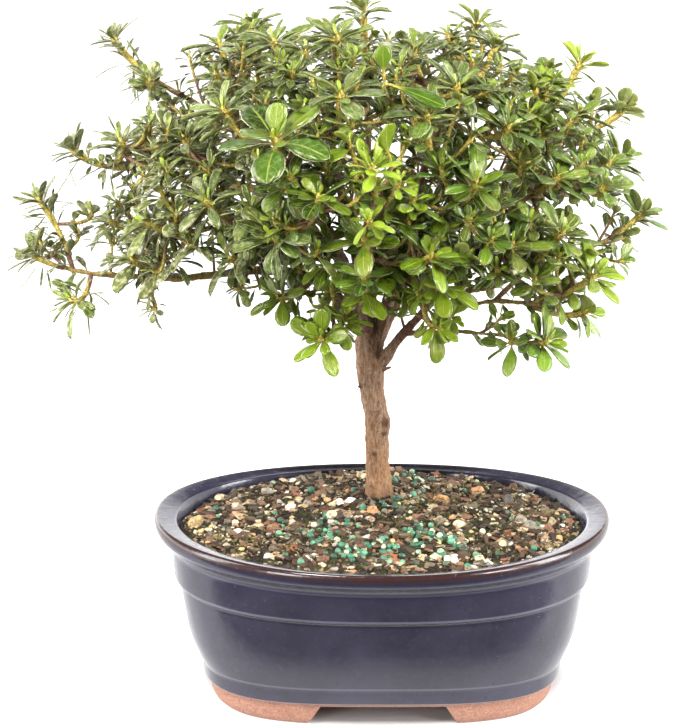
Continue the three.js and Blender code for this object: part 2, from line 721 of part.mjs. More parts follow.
function shootSolid(shoot, start, plan, rods, random) {
  const rings = shootRings(shoot, start, random);
  const corners = rings.flatMap((ring) => ringPoints(ring, shoot.across, TWIG_SIDES));
  const triangles = [];
  for (let k = 1; k + 1 < TWIG_SIDES; k += 1) {
    triangles.push(0, k + 1, k);
  }
  for (let i = 0; i + 1 < rings.length; i += 1) {
    for (let k = 0; k < TWIG_SIDES; k += 1) {
      const next = (k + 1) % TWIG_SIDES;
      const foot = [
        i * TWIG_SIDES + k,
        i * TWIG_SIDES + next,
        (i + 1) * TWIG_SIDES + next,
        (i + 1) * TWIG_SIDES + k,
      ];
      const leaf = rings[i].leaves[k];
      const grown = leaf && growLeaf(corners, foot, rings[i], leaf, shoot, plan, rods);
      if (grown) {
        addLeaf(corners, triangles, foot, grown);
      } else {
        triangles.push(foot[0], foot[1], foot[2], foot[0], foot[2], foot[3]);
      }
    }
  }
  const last = (rings.length - 1) * TWIG_SIDES;
  const bud = corners.length;
  corners.push(shoot.tip.clone().addScaledVector(shoot.axis, BUD_LENGTH));
  for (let k = 0; k < TWIG_SIDES; k += 1) {
    triangles.push(last + k, last + ((k + 1) % TWIG_SIDES), bud);
  }
  return toSolid(bareGeometry(corners.flatMap((p) => p.toArray()), triangles));
}

function growLeaf(corners, foot, ring, leaf, shoot, plan, rods) {
  const middle = new THREE.Vector3();
  foot.forEach((index) => middle.addScaledVector(corners[index], 0.25));
  const outward = middle.clone().sub(ring.centre);
  outward.addScaledVector(ring.along, -outward.dot(ring.along)).normalize();
  for (const bend of BENDS) {
    const points = leafPoints(middle, ring.along, outward, leaf, bend);
    if (isClear(points, middle, shoot, plan, rods)) {
      return points;
    }
  }
  return null;
}

function addLeaf(corners, triangles, foot, { sections, tip }) {
  let previous = foot;
  for (const section of sections) {
    const current = section.map((_, k) => corners.length + k);
    corners.push(...section);
    for (let k = 0; k < 4; k += 1) {
      const next = (k + 1) % 4;
      if (k === 2) {
        triangles.push(previous[k], previous[next], current[k]);
        triangles.push(previous[next], current[next], current[k]);
      } else {
        triangles.push(previous[k], previous[next], current[next]);
        triangles.push(previous[k], current[next], current[k]);
      }
    }
    previous = current;
  }
  const end = corners.length;
  corners.push(tip);
  for (let k = 0; k < 4; k += 1) {
    triangles.push(previous[k], previous[(k + 1) % 4], end);
  }
}

function makeShoots(plan, wood) {
  const rods = makeRods(plan);
  const solids = new Map();
  let seed = TWIG_SEED;
  for (const shoot of plan.values()) {
    const beside = [...solids].filter(([name]) => (
      plan.get(name).at(0).distanceTo(shoot.at(0)) < SAME_ROOT
    ));
    const obstacles = [wood, ...beside.map(([, solid]) => solid)];
    const start = shoot.parent ? 0 : rootShare(shoot, obstacles);
    const solid = shootSolid(shoot, start, plan, rods, seeded(seed));
    seed += 1;
    if (shoot.parent) {
      solids.set(shoot.parent, solids.get(shoot.parent).add(solid));
    } else {
      solids.set(shoot.name, solid);
    }
  }
  return solids;
}

const plan = makePlan();
const wood = makeTrunk();
const model = new THREE.Group();
model.add(namedMesh('pot', makePot(), '#4a4a5c', 0.3));
model.add(namedMesh('drain_screen_left', makeScreen(-1), '#2b2b2b', 0.6));
model.add(namedMesh('drain_screen_right', makeScreen(1), '#2b2b2b', 0.6));
model.add(namedMesh('soil', makeSoil(), '#4b3a2c', 0.95));
model.add(namedMesh('trunk', toGeometry(wood), '#8f6f4f', 0.85));
for (const [name, solid] of makeShoots(plan, wood)) {
  model.add(namedMesh(`leafy_shoot_${name}`, toGeometry(solid), '#4c7538', 0.45));
}

// The box of the whole stands on the origin, centred over it.
const group = new THREE.Group();
const box = new THREE.Box3().setFromObject(model, true);
const middle = box.getCenter(new THREE.Vector3());
model.position.set(-middle.x, -middle.y, -box.min.z);
group.add(model);

export default group;
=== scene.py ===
import math
from functools import partial

import bmesh
import bpy
import numpy as np
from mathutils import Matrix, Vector


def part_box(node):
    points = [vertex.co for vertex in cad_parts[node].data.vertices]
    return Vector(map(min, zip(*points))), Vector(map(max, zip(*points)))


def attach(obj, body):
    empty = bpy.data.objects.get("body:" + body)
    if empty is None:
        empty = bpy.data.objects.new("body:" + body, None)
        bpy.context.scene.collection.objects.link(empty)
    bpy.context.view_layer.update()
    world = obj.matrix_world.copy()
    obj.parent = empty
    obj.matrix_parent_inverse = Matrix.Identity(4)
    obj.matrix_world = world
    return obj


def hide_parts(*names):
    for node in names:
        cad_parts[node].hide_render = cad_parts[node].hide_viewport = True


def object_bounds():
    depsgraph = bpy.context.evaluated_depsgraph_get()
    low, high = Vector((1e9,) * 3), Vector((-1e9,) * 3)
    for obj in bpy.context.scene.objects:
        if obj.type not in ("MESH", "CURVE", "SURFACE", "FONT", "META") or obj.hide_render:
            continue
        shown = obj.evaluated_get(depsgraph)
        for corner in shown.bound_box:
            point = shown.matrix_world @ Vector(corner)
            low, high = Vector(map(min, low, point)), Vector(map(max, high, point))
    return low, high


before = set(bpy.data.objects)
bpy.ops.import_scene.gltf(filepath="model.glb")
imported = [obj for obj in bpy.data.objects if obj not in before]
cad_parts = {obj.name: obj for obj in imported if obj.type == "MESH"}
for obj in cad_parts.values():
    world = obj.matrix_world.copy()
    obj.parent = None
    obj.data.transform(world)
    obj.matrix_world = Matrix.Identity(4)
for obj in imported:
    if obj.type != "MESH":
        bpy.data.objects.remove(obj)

CAD_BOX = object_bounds()
MM = 0.001

# The pot's middle in the row's frame. The plant's plan is laid out round it, in
# millimetres, as in the part's source.
POT_LOW, POT_HIGH = (np.array(corner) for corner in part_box("pot"))
POT_MIDDLE = np.array([*(POT_LOW + POT_HIGH)[:2] / 2, 0.0])
POT_X, POT_Y = map(float, POT_MIDDLE[:2])
POT_HALF_LENGTH = 101.8
POT_HEIGHT = 76.2
WIDTH_RATIO = (0.8, 0.745)
OVAL_POWER = (3.6, 2.09)
RIM_SAG = 2.8
FOOT_HEIGHT = 9.5
FLOOR_TOP = 16
LONG_ARCH = (27, 34)
SHORT_ARCH = (13, 17)
DRAIN_X = 36
DRAIN_RADIUS = 6.5
DRAIN_SIDES = 48
POT_STEPS = 160
EDGE_ROUNDING = 0.5
CORNER_STEPS = 3

SOIL_EDGE_Z = 72.5
SOIL_MOUND = 9
SOIL_MOUND_SPREAD = 36
SOIL_HALF_LENGTH = 90.2
SOIL_EDGE_DIP = 4.4
DIP_START = 0.88
DIP_REACH = 0.1
BED_STEPS = 168
BED_RINGS = 70
CRUMBLE = 0.55
STONE_FLATNESS = 0.62
TRUNK_CLEARANCE = 8
TRUNK_X = -1
TRUNK_Y = 14

CROWN_CENTRE = np.array([-8.0, 14.0, 200.0])
CROWN_REACH = np.array([140.0, 122.0, 95.0])
RISE = 1
FOLLOW = 0.4
BEND_BACK = 0.42
FORK_SHARE = 0.5
SHORTEST_TWIG = 13
TWIG_SEED = 101
CROWDING_COST = 8
UP = np.array([0.0, 0.0, 1.0])

# The same limbs as the trunk's solid: lines of points [x, y, z, radius].
LIMBS = [
    [[-6, 14, 154, 4], [-25, 8, 180, 2.9], [-38, 4, 186, 2.5], [-56, 0, 188, 2.1],
     [-90, -8, 186, 1.7], [-126, -10, 189, 1.3], [-138, -8, 191, 1.2]],
    [[-25, 8, 180, 2.4], [-36, -8, 200, 2], [-58, -16, 217, 1.7], [-80, -12, 229, 1.4],
     [-96, -2, 235, 1.2]],
    [[-6, 13, 152, 4], [-12, 13, 176, 3.2], [-22, 8, 201, 2.6], [-41, 2, 229, 2.1],
     [-62, 5, 250, 1.7], [-84, 13, 261, 1.3]],
    [[-12, 13, 176, 2.4], [-21, -15, 203, 1.9], [-32, -35, 226, 1.6], [-37, -48, 240, 1.3]],
    [[-5, 14, 152, 3.8], [-9, 15, 180, 3], [-15, 10, 207, 2.5], [-22, 6, 237, 1.9],
     [-26, 2, 262, 1.4]],
    [[-4, 14, 146, 4], [2, 12, 169, 3.3], [7, 8, 192, 2.7], [15, 0, 225, 2.1],
     [23, -10, 252, 1.6], [26, -18, 262, 1.3]],
    [[7, 8, 192, 2.2], [24, 5, 206, 1.9], [46, 3, 224, 1.6], [63, 5, 241, 1.3]],
    [[-4, 14, 138, 2.9], [9, 8, 157, 2.3], [24, 0, 176, 1.9], [47, -5, 182, 1.5],
     [69, -8, 191, 1.3], [98, 0, 202, 1.1]],
    [[24, 0, 176, 1.6], [30, -8, 173, 1.4], [48, -14, 178, 1.3], [68, -17, 177, 1.1]],
    [[9, 8, 157, 1.5], [18, -2, 161, 1.2], [36, -14, 164, 1.1], [52, -24, 165, 1]],
    [[2, 12, 169, 2.4], [4, -15, 188, 1.8], [3, -45, 204, 1.4]],
    [[7, 8, 192, 2.1], [20, -20, 212, 1.6], [28, -44, 228, 1.3]],
    [[-5.5, 15, 150, 3.4], [-22, 38, 190, 2.4], [-55, 58, 212, 1.8], [-86, 55, 222, 1.4]],
    [[-4, 16, 154, 3.4], [-6, 42, 195, 2.4], [-6, 66, 222, 1.8], [-5, 74, 246, 1.4]],
    [[-4, 15, 146, 3.2], [16, 38, 186, 2.3], [48, 54, 210, 1.7], [80, 48, 222, 1.3]],
    [[-5, 12, 156, 2.2], [-10, -8, 173, 1.5], [-12, -22, 178, 1.2]],
]

# The same shoots as in the part: name, tip, leaf length and width, parent.
SHOOTS = [
    ("left_1", (-152, -6, 197), 15, 5.6, None),
    ("left_2", (-149, 0, 220), 15, 5.6, None),
    ("left_3", (-136, 12, 240), 15, 5.6, None),
    ("left_4", (-133, -22, 180), 15, 6, None),
    ("left_5", (-107, -20, 198), 17, 6.4, None),
    ("left_6", (-99, -38, 218), 17, 6.4, None),
    ("left_7", (-112, -6, 246), 15, 5.6, "left_3"),
    ("left_8", (-73, -52, 229), 17, 6.6, None),
    ("left_9", (-84, -22, 250), 16, 6, None),
    ("upper_left_1", (-117, 20, 287), 12, 5, None),
    ("upper_left_2", (-100, -4, 272), 12, 5.4, "upper_left_1"),
    ("upper_left_3", (-70, 5, 286), 16, 6.4, None),
    ("upper_left_4", (-66, -45, 266), 18, 7, None),
    ("upper_left_5", (-46, -22, 291), 16, 6, None),
    ("top_1", (-20, -16, 292), 16, 6.4, None),
    ("top_2", (12, -20, 287), 16, 6.4, None),
    ("top_3", (29, -48, 276), 16, 6.6, "top_2"),
    ("top_4", (48, 0, 287), 15, 6, None),
    ("front_1", (-44, -76, 259), 24, 11, None),
    ("front_2", (-45, -72, 219), 20, 8, None),
    ("front_3", (-6, -84, 250), 17, 8, None),
    ("front_4", (-9, -80, 220), 17, 7.4, None),
    ("front_5", (18, -74, 212), 17, 7.4, "front_4"),
    ("front_6", (16, -70, 268), 18, 7.4, None),
    ("front_7", (36, -68, 240), 19, 8, None),
    ("front_8", (-27, -84, 238), 15, 6.6, "front_2"),
    ("front_9", (-18, -62, 275), 18, 7.4, None),
    ("front_10", (-64, -45, 204), 16, 6.4, None),
    ("low_1", (-27, -38, 167), 16, 7, None),
    ("low_2", (-45, -22, 182), 15, 6.4, None),
    ("low_3", (-8, -40, 189), 15, 7, None),
    ("low_4", (25, -46, 193), 16, 7, None),
    ("low_5", (23, -28, 170), 15, 7, "low_4"),
    ("right_1", (65, 0, 267), 15, 6.6, None),
    ("right_2", (86, 18, 277), 15, 6, None),
    ("right_3", (84, 2, 257), 15, 6, None),
    ("right_4", (106, 22, 256), 15, 6, "right_3"),
    ("right_5", (97, -2, 236), 16, 6, None),
    ("right_6", (73, -24, 234), 18, 7, None),
    ("right_7", (74, -38, 213), 17, 7, None),
    ("right_8", (89, -30, 193), 17, 6.6, None),
    ("right_9", (113, 6, 212), 15, 6, None),
    ("right_10", (88, -14, 173), 15, 6.4, None),
    ("right_11", (69, -34, 165), 17, 7.6, None),
    ("right_12", (52, -54, 212), 16, 7, "right_7"),
    ("right_13", (51, -40, 258), 17, 7, None),
    ("back_1", (-110, 46, 238), 16, 6.4, None),
    ("back_2", (-74, 74, 262), 17, 7, None),
    ("back_3", (-22, 86, 276), 17, 7, None),
    ("back_4", (34, 82, 272), 17, 7, None),
    ("back_5", (78, 62, 256), 16, 7, None),
    ("back_6", (108, 44, 230), 16, 6.4, None),
    ("back_7", (-122, 38, 202), 16, 6.4, None),
    ("back_8", (-82, 84, 218), 17, 7, None),
    ("back_9", (-32, 108, 236), 17, 7, None),
    ("back_10", (26, 108, 230), 17, 7, None),
    ("back_11", (72, 86, 210), 17, 7, None),
    ("back_12", (-46, 86, 188), 16, 6.6, None),
    ("back_13", (10, 92, 190), 16, 6.6, None),
    ("back_14", (56, 60, 184), 16, 6.6, None),
    ("back_15", (-58, 42, 290), 16, 6.4, None),
    ("back_16", (-8, 42, 296), 16, 6.4, None),
    ("back_17", (42, 42, 290), 16, 6.4, None),
]

# How far back from a shoot's tip its rings of leaves stand, and how twigs and leaves
# are built.
SIDE_RING = 9.1
LOWER_RING = 2.4
UPPER_RING = 0.45
LEAFY_STEM_SPAN = 22
TWIG_SIDES = 5
FIFTH = 2 * math.pi / TWIG_SIDES
LEAF_ARCH = 0.16
LEAF_LIFT = 0.12
STEM_RADIUS = 0.75
GOLDEN_ANGLE = math.radians(137.5)
LEAF_THICKNESS = 0.05
SMALL_LEAF = 9
UPPER_SIDE, UNDER_SIDE, STEM_SIDE = 0, 1, 2

# How fine the trunk's remesh is, in millimetres, and the share of faces it keeps.
TRUNK_VOXEL = 0.6
TRUNK_FACES_KEPT = 0.6


def to_row(points):
    """Millimetres round the pot's middle become metres in the row's frame."""
    return np.asarray(points, float) * MM + POT_MIDDLE


def unit(vector):
    return vector / np.linalg.norm(vector)


def clamp(value, low=0.0):
    return float(np.clip(value, low, 1))


def between_foot_and_rim(ends, z):
    """The pot's outline is a plain oval at the rim and squarer toward the foot."""
    foot, rim = ends
    return foot + (rim - foot) * z / POT_HEIGHT


def oval_place(radius, angle, z):
    """The place on the oval of a half length, in a direction and at a height."""
    power = between_foot_and_rim(OVAL_POWER, z)
    reach = radius * (np.abs(np.cos(angle)) ** power + np.abs(np.sin(angle)) ** power) ** (-1 / power)
    return reach * np.cos(angle), reach * np.sin(angle) * between_foot_and_rim(WIDTH_RATIO, z)


def seeded(seed):
    """The part's own generator of random numbers, so both draw the same plant."""
    mask = 0xFFFFFFFF
    state = seed & mask

    def draw():
        nonlocal state
        state = (state + 0x6D2B79F5) & mask
        t = ((state ^ (state >> 15)) * (1 | state)) & mask
        t = ((t + ((t ^ (t >> 7)) * (61 | t))) & mask) ^ t
        return ((t ^ (t >> 14)) & mask) / 4294967296

    return draw


# Materials

# Kinds of shader node: type, settings, sockets in the order that inputs are given,
# and the output that is used, or None for all. Any other kind is a Math operation.
NODE_KINDS = {
    "PLACE": ("TexCoord", {}, (), "Object"),
    "WAY": ("TexCoord", {}, (), "Generated"),
    "LEAF_UV": ("UVMap", {"uv_map": "leaf"}, (), 0),
    "TONE": ("Attribute", {"attribute_name": "tone"}, (), "Color"),
    "CHANNELS": ("SeparateColor", {}, (0,), None),
    "XYZ": ("SeparateXYZ", {}, (0,), None),
    "STRETCH": ("Mapping", {}, ("Vector", "Scale"), 0),
    "AWAY": ("VectorMath", {"operation": "DISTANCE"}, (0, 1), "Value"),
    "NOISE": ("TexNoise", {}, ("Vector", "Scale", "Detail", "Roughness"), "Fac"),
    "RANGE": ("MapRange", {"interpolation_type": "SMOOTHSTEP"}, range(5), 0),
    "RAMP": ("ValToRGB", {}, (0,), 0),
    "MIX": ("Mix", {"data_type": "RGBA"}, (0, 6, 7), 2),
    "BUMP": ("Bump", {}, ("Height", "Distance"), 0),
}


def linear(hex_colour):
    """An sRGB hex colour as linear red, green, blue and a full alpha."""
    channels = [int(hex_colour[i:i + 2], 16) / 255 for i in (1, 3, 5)]
    return tuple(c / 12.92 if c <= 0.04045 else ((c + 0.055) / 1.055) ** 2.4 for c in channels) + (1.0,)


def add_node(tree, kind, *inputs, **settings):
    """Adds one shader node. An input is a socket to link, a hex colour or a value."""
    name, fixed, sockets, given = NODE_KINDS.get(kind, ("Math", {"operation": kind}, (0, 1), 0))
    node = tree.nodes.new("ShaderNode" + name)
    for setting, value in (fixed | settings).items():
        setattr(node, setting, value)
    for key, value in zip(sockets, inputs):
        if isinstance(value, bpy.types.NodeSocket):
            tree.links.new(value, node.inputs[key])
        else:
            node.inputs[key].default_value = linear(value) if isinstance(value, str) else value
    return node.outputs if given is None else node.outputs[given]


def new_material(name, **surface):
    """A Principled material with its constant values on the shader itself, its
    shader, and what adds a node to it."""
    material = bpy.data.materials.new(name)
    material.use_nodes = True
    shader = material.node_tree.nodes["Principled BSDF"]
    for socket, value in surface.items():
        shader.inputs[socket.replace("_", " ")].default_value = value
    return material, shader, partial(add_node, material.node_tree)


def join(source, shader, socket):
    shader.id_data.links.new(source, shader.inputs[socket])


def set_stops(colours, stops, interpolation="LINEAR"):
    """Gives a colour ramp its stops of (position, hex colour)."""
    ramp = colours.node.color_ramp
    ramp.interpolation = interpolation
    first, last = ramp.elements
    first.position, first.color = stops[0][0], linear(stops[0][1])
    last.position, last.color = stops[-1][0], linear(stops[-1][1])
    for position, colour in stops[1:-1]:
        ramp.elements.new(position).color = linear(colour)
    return colours


def per_mm(size):
    """The scale that gives a noise features of about a size in millimetres."""
    return 1.0 / (size * MM)


def pot_coordinates(add):
    """Places on the pot in millimetres: how far out toward the lip's oval, and the
    height with the rim's sag taken away, as in the pot's outline."""
    x, y, z = add("XYZ", add("PLACE"))
    share = add("DIVIDE", add("SUBTRACT", x, POT_X), POT_HALF_LENGTH * MM)
    depth = add("DIVIDE", add("SUBTRACT", y, POT_Y), POT_HALF_LENGTH * WIDTH_RATIO[1] * MM)
    powers = [add("POWER", add("ABSOLUTE", side), OVAL_POWER[1]) for side in (share, depth)]
    reach = add("POWER", add("ADD", *powers), 1 / OVAL_POWER[1])
    height = add("DIVIDE", z, MM)
    rise = add("DIVIDE", add("SUBTRACT", height, FLOOR_TOP), POT_HEIGHT - FLOOR_TOP, use_clamp=True)
    sag = add("SUBTRACT", add("MULTIPLY", share, share), 0.5)
    sag = add("MULTIPLY", add("MULTIPLY", sag, rise), RIM_SAG)
    return add("MULTIPLY", reach, POT_HALF_LENGTH), add("SUBTRACT", height, sag)


# Pale lines along the pot's edges, where the glaze runs thin and, on the groove and
# ledge, painted highlights: the edge's height, half the line's width, its colour and how strong it is.
THIN_GLAZE_AND_HIGHLIGHT_LINES = [(65.2, 0.8, "#6F6D7C", 0.3), (52.8, 0.8, "#7C7A8A", 0.45), (18.4, 0.9, "#6C6A76", 0.4),
              (11, 0.5, "#9C8078", 0.7)]


def glazed_stoneware():
    """Stoneware dipped in a dark blue-grey glaze, gloss fired. The glaze runs thin
    and breaks brown on the lip and pale on the edges, where some pale lines are painted
    highlights. Inside the back of the rim it is painted dark and dull as shade. It has
    pinholes and stops short of the feet, where the salmon clay is bare and rough."""
    material, shader, add = new_material("glazed_stoneware_gloss_fired", IOR=1.52)
    place = add("PLACE")
    outward, height = pot_coordinates(add)
    cloud = add("NOISE", place, per_mm(24), 4, 0.55)
    fine = add("NOISE", place, per_mm(2.4), 3, 0.55)
    speck = add("NOISE", place, per_mm(1.3), 2, 0.4)
    glaze = set_stops(add("RAMP", cloud), [(0.3, "#25232F"), (0.5, "#2C2A37"), (0.72, "#343240")])
    glaze = add("MIX", add("RANGE", fine, 0.5, 0.75, 0, 0.3), glaze, "#3B3947")
    glaze = add("MIX", add("RANGE", speck, 0.68, 0.76), glaze, "#1D1C28")
    level = add("ADD", height, add("MULTIPLY", add("SUBTRACT", cloud, 0.5), 1.6))
    glaze = add("MIX", add("RANGE", level, 55, 72, 0, 0.5), glaze, "#201E36")
    # Pale edge lines: thin glaze, and painted highlights on the groove and ledge.
    for middle, half, colour, strength in THIN_GLAZE_AND_HIGHLIGHT_LINES:
        away = add("ABSOLUTE", add("SUBTRACT", height, middle))
        glaze = add("MIX", add("RANGE", away, 0, half, strength, 0), glaze, colour)
    breaking = add("MULTIPLY", add("RANGE", height, 72.2, 73.8), add("RANGE", outward, 98.7, 99.9))
    breaking = add("MULTIPLY", breaking, add("RANGE", fine, 0.3, 0.55, 0.6, 1))
    glaze = add("MIX", breaking, glaze, "#301C19")
    # Painted shade: inside the back of the rim the glaze is darkened nearly to black and its gloss dimmed,
    # as the shade that falls there.
    back = add("RANGE", add("XYZ", place)[1], POT_Y + 60 * MM, POT_Y + 69 * MM, 0, 0.92)
    painted_back_rim_shade = add("MULTIPLY", back, add("RANGE", outward, 98, 99.5, 1, 0))
    glaze = add("MIX", painted_back_rim_shade, glaze, "#0A090C")
    join(add("RANGE", painted_back_rim_shade, 0, 0.92, 0.5, 0.12), shader, "Specular IOR Level")
    grog = add("NOISE", place, per_mm(0.9), 3, 0.55)
    clay = set_stops(add("RAMP", grog), [(0.3, "#7B5545"), (0.5, "#926754"), (0.75, "#A57D69")])
    stain = add("NOISE", place, per_mm(12), 3, 0.55)
    clay = add("MIX", add("RANGE", stain, 0.5, 0.75, 0, 0.6), clay, "#6C4538")
    bare = add("RANGE", level, 10.1, 10.7, 1, 0)
    join(add("MIX", bare, glaze, clay), shader, "Base Color")
    rough = add("RANGE", add("NOISE", place, per_mm(3.2), 3, 0.55), 0.35, 0.75, 0.13, 0.24)
    join(add("ADD", rough, add("MULTIPLY", bare, 0.62)), shader, "Roughness")
    skin = add("NOISE", place, per_mm(6.5), 3, 0.55)
    relief = add("ADD", skin, add("MULTIPLY", grog, bare))
    relief = add("SUBTRACT", relief, add("RANGE", speck, 0.7, 0.76, 0, 0.4))
    join(add("BUMP", relief, 0.12 * MM), shader, "Normal")
    return material


def moulded_mesh_plastic():
    """Black polyethylene mesh, moulded, with a dull skin."""
    material, shader, add = new_material("moulded_polyethylene_mesh", IOR=1.5)
    grain = add("NOISE", add("PLACE"), per_mm(0.6), 2, 0.55)
    join(set_stops(add("RAMP", grain), [(0.3, "#17181A"), (0.7, "#26282A")]), shader, "Base Color")
    join(add("RANGE", grain, 0.3, 0.7, 0.5, 0.65), shader, "Roughness")
    join(add("BUMP", grain, 0.05 * MM), shader, "Normal")
    return material


# Dark scars on the trunk where twigs have been, and painted shade in the tall clefts between
# its limbs: place, reach and whether it is tall.
BARK_SCARS_AND_CLEFT_SHADE = [
    ((1.9, 10, 115.5), 3.2, False), ((1.2, 9.6, 110.3), 2.0, False), ((-9.2, 11.5, 133), 2.8, False),
    ((-3.5, 9, 101), 1.8, False), ((-3.2, 10, 163), 3.4, True), ((-1.6, 9.6, 148), 1.8, True),
]
BARK_STRETCH = 0.3


def azalea_bark():
    """Thin, dry azalea bark: grey-tan with fine fissures along the trunk, smoother
    and red-brown on the young limbs, darker just above the soil."""
    material, shader, add = new_material("azalea_bark_fissured", IOR=1.45, Specular_IOR_Level=0.35)
    place = add("PLACE")
    stretched = add("STRETCH", place, (1, 1, BARK_STRETCH))
    fissure = add("NOISE", stretched, per_mm(1.0), 6, 0.75)
    plate = add("NOISE", stretched, per_mm(3.4), 4, 0.55)
    patch = add("NOISE", place, per_mm(9), 3, 0.55)
    youth = add("CHANNELS", add("TONE"))[0]
    height = add("XYZ", place)[2]
    old = set_stops(add("RAMP", fissure),
                    [(0.3, "#40291A"), (0.42, "#785640"), (0.55, "#9F826B"), (0.75, "#C2AE96")])
    old = add("MIX", add("RANGE", plate, 0.45, 0.7, 0, 0.35), old, "#A5907E")
    old = add("MIX", add("RANGE", patch, 0.5, 0.72, 0, 0.45), old, "#A27A58")
    new = set_stops(add("RAMP", fissure), [(0.3, "#482B21"), (0.5, "#6E4A38"), (0.72, "#9C7A66")])
    shoot = set_stops(add("RAMP", fissure), [(0.3, "#574423"), (0.48, "#8F7A3E"), (0.72, "#BBA868")])
    colour = add("MIX", add("RANGE", youth, 0, 0.5), old, new)
    young = add("ADD", youth, add("MULTIPLY", patch, 0.3))
    colour = add("MIX", add("RANGE", young, 0.78, 0.96), colour, shoot)
    warm = add("RANGE", height, 0.085, 0.135, 0.55, 0)
    warm = add("MULTIPLY", warm, add("RANGE", plate, 0.35, 0.65, 0.3, 1))
    colour = add("MIX", warm, colour, add("MIX", fissure, "#70441E", "#B88242"))
    speck = add("RANGE", add("NOISE", place, per_mm(0.8), 3, 0.6), 0.57, 0.68, 0, 0.7)
    speck = add("MULTIPLY", speck, add("RANGE", youth, 0, 0.4, 1, 0.2))
    colour = add("MIX", speck, colour, "#51382A")
    # The short marks are the bark's own scars; the tall ones are painted shade in the clefts between the
    # limbs.
    for spot, reach, tall in BARK_SCARS_AND_CLEFT_SHADE:
        x, y, z = to_row(spot)
        away = add("AWAY", stretched if tall else place, (x, y, z * (BARK_STRETCH if tall else 1)))
        frayed = add("ADD", away, add("MULTIPLY", fissure, 0.002))
        scar_or_cleft_shade = add("RANGE", frayed, 0.001 + 0.3 * reach * MM, 0.001 + reach * MM, 0.85, 0)
        colour = add("MIX", scar_or_cleft_shade, colour, "#4A3529")
    # Darker in a band just above the soil.
    ragged = add("ADD", height, add("MULTIPLY", plate, 0.006))
    colour = add("MIX", add("RANGE", ragged, 0.082, 0.091, 0.6, 0), colour, "#47362B")
    join(colour, shader, "Base Color")
    join(add("RANGE", youth, 0, 1, 0.85, 0.6), shader, "Roughness")
    relief = add("ADD", fissure, add("MULTIPLY", plate, 0.7))
    join(add("BUMP", relief, 0.7 * MM), shader, "Normal")
    return material


VEIN_PAIRS = 7


def leaf_surface(name, dark, light, young, rib, edge, grey, shine):
    """Shared build of the two faces of a leaf: blade, side veins, midrib and edge.
    Leaves inside the crown are painted darker and duller, as shade. A leaf's own values say
    how young it is, how lit, which paints its light and shade, and how grey with dust and
    painted sheen. Shine is roughness, specular level and wax coat."""
    material, shader, add = new_material(name, IOR=1.47, Roughness=shine[0], Coat_Roughness=0.13,
                                         Specular_Tint=linear("#FFF1B8"))
    youth, lit, dust_and_sheen = add("CHANNELS", add("TONE"))
    # Painted shade: leaves painted as shaded lose most of their gloss and wax coat.
    outer = add("RANGE", lit, 0, 0.35, 0.15, 1)
    join(add("MULTIPLY", outer, shine[1]), shader, "Specular IOR Level")
    join(add("MULTIPLY", outer, shine[2]), shader, "Coat Weight")
    across, along, _ = add("XYZ", add("LEAF_UV"))
    across = add("ABSOLUTE", add("SUBTRACT", across, 0.5))
    place = add("PLACE")
    mottle = add("NOISE", place, per_mm(2.2), 4, 0.55)
    # Painted light and shade: the blade runs from dark to light green by how lit the leaf is painted.
    blade = add("MIX", lit, dark, light)
    blade = add("MIX", add("RANGE", mottle, 0.4, 0.72, 0, 0.5), blade, light)
    aged = add("RANGE", add("NOISE", place, per_mm(13), 2, 0.55), 0.54, 0.62, 0, 0.45)
    blade = add("MIX", aged, blade, add("MIX", lit, "#2E2608", "#7C7420"))
    # Grey dust on the blade, and pale patches that paint a grey-white sheen.
    blade = add("MIX", add("MULTIPLY", dust_and_sheen, 0.3), blade, grey)
    painted_sheen = add("MULTIPLY", dust_and_sheen, add("RANGE", mottle, 0.42, 0.74, 0, 0.9))
    blade = add("MIX", painted_sheen, blade, "#C8C2A2")
    blade = add("MIX", youth, blade, young)
    slant = add("SUBTRACT", along, add("MULTIPLY", across, 0.55))
    wave = add("SINE", add("MULTIPLY", slant, 2 * math.pi * VEIN_PAIRS))
    veins = add("RANGE", wave, 0.72, 1, 0, 0.1)
    blade = add("MIX", veins, blade, rib)
    midrib = add("RANGE", across, 0.012, 0.045, 0.5, 0)
    blade = add("MIX", midrib, blade, rib)
    # Pale margin: the leaf's own edge, with a painted rim highlight, wider on the grey, sheened leaves.
    brim = add("ADD", across, add("MULTIPLY", dust_and_sheen, 0.045))
    blade = add("MIX", add("RANGE", brim, 0.466, 0.49, 0, 0.65), blade, edge)
    blade = add("MIX", add("RANGE", along, 0.03, 0.28, 0.95, 0), blade, "#C4AE42")
    join(blade, shader, "Base Color")
    groove = add("ADD", add("MULTIPLY", veins, -3), add("MULTIPLY", midrib, -1))
    relief = add("ADD", groove, add("MULTIPLY", mottle, 0.9))
    join(add("BUMP", relief, 0.4 * MM), shader, "Normal")
    return material


def leaf_upper():
    """The waxy upper skin of an evergreen azalea leaf: green with a pale midrib and
    margin, the margin partly a painted rim highlight, pale patches of painted sheen on the
    grey leaves, and a gloss that turns grey-white where it faces the light."""
    return leaf_surface("azalea_leaf_upper_waxy", "#101E03", "#48720F", "#A6C22E",
                        "#A2AC48", "#EAE6C0", "#7E7A58", (0.3, 0.8, 0.4))


def leaf_underside():
    """The matt underside of the leaf: pale grey-green with a raised midrib."""
    return leaf_surface("azalea_leaf_underside_matt", "#3A4516", "#8A9748", "#BFC948",
                        "#BCC286", "#CFD4A6", "#8E927B", (0.6, 0.35, 0.0))


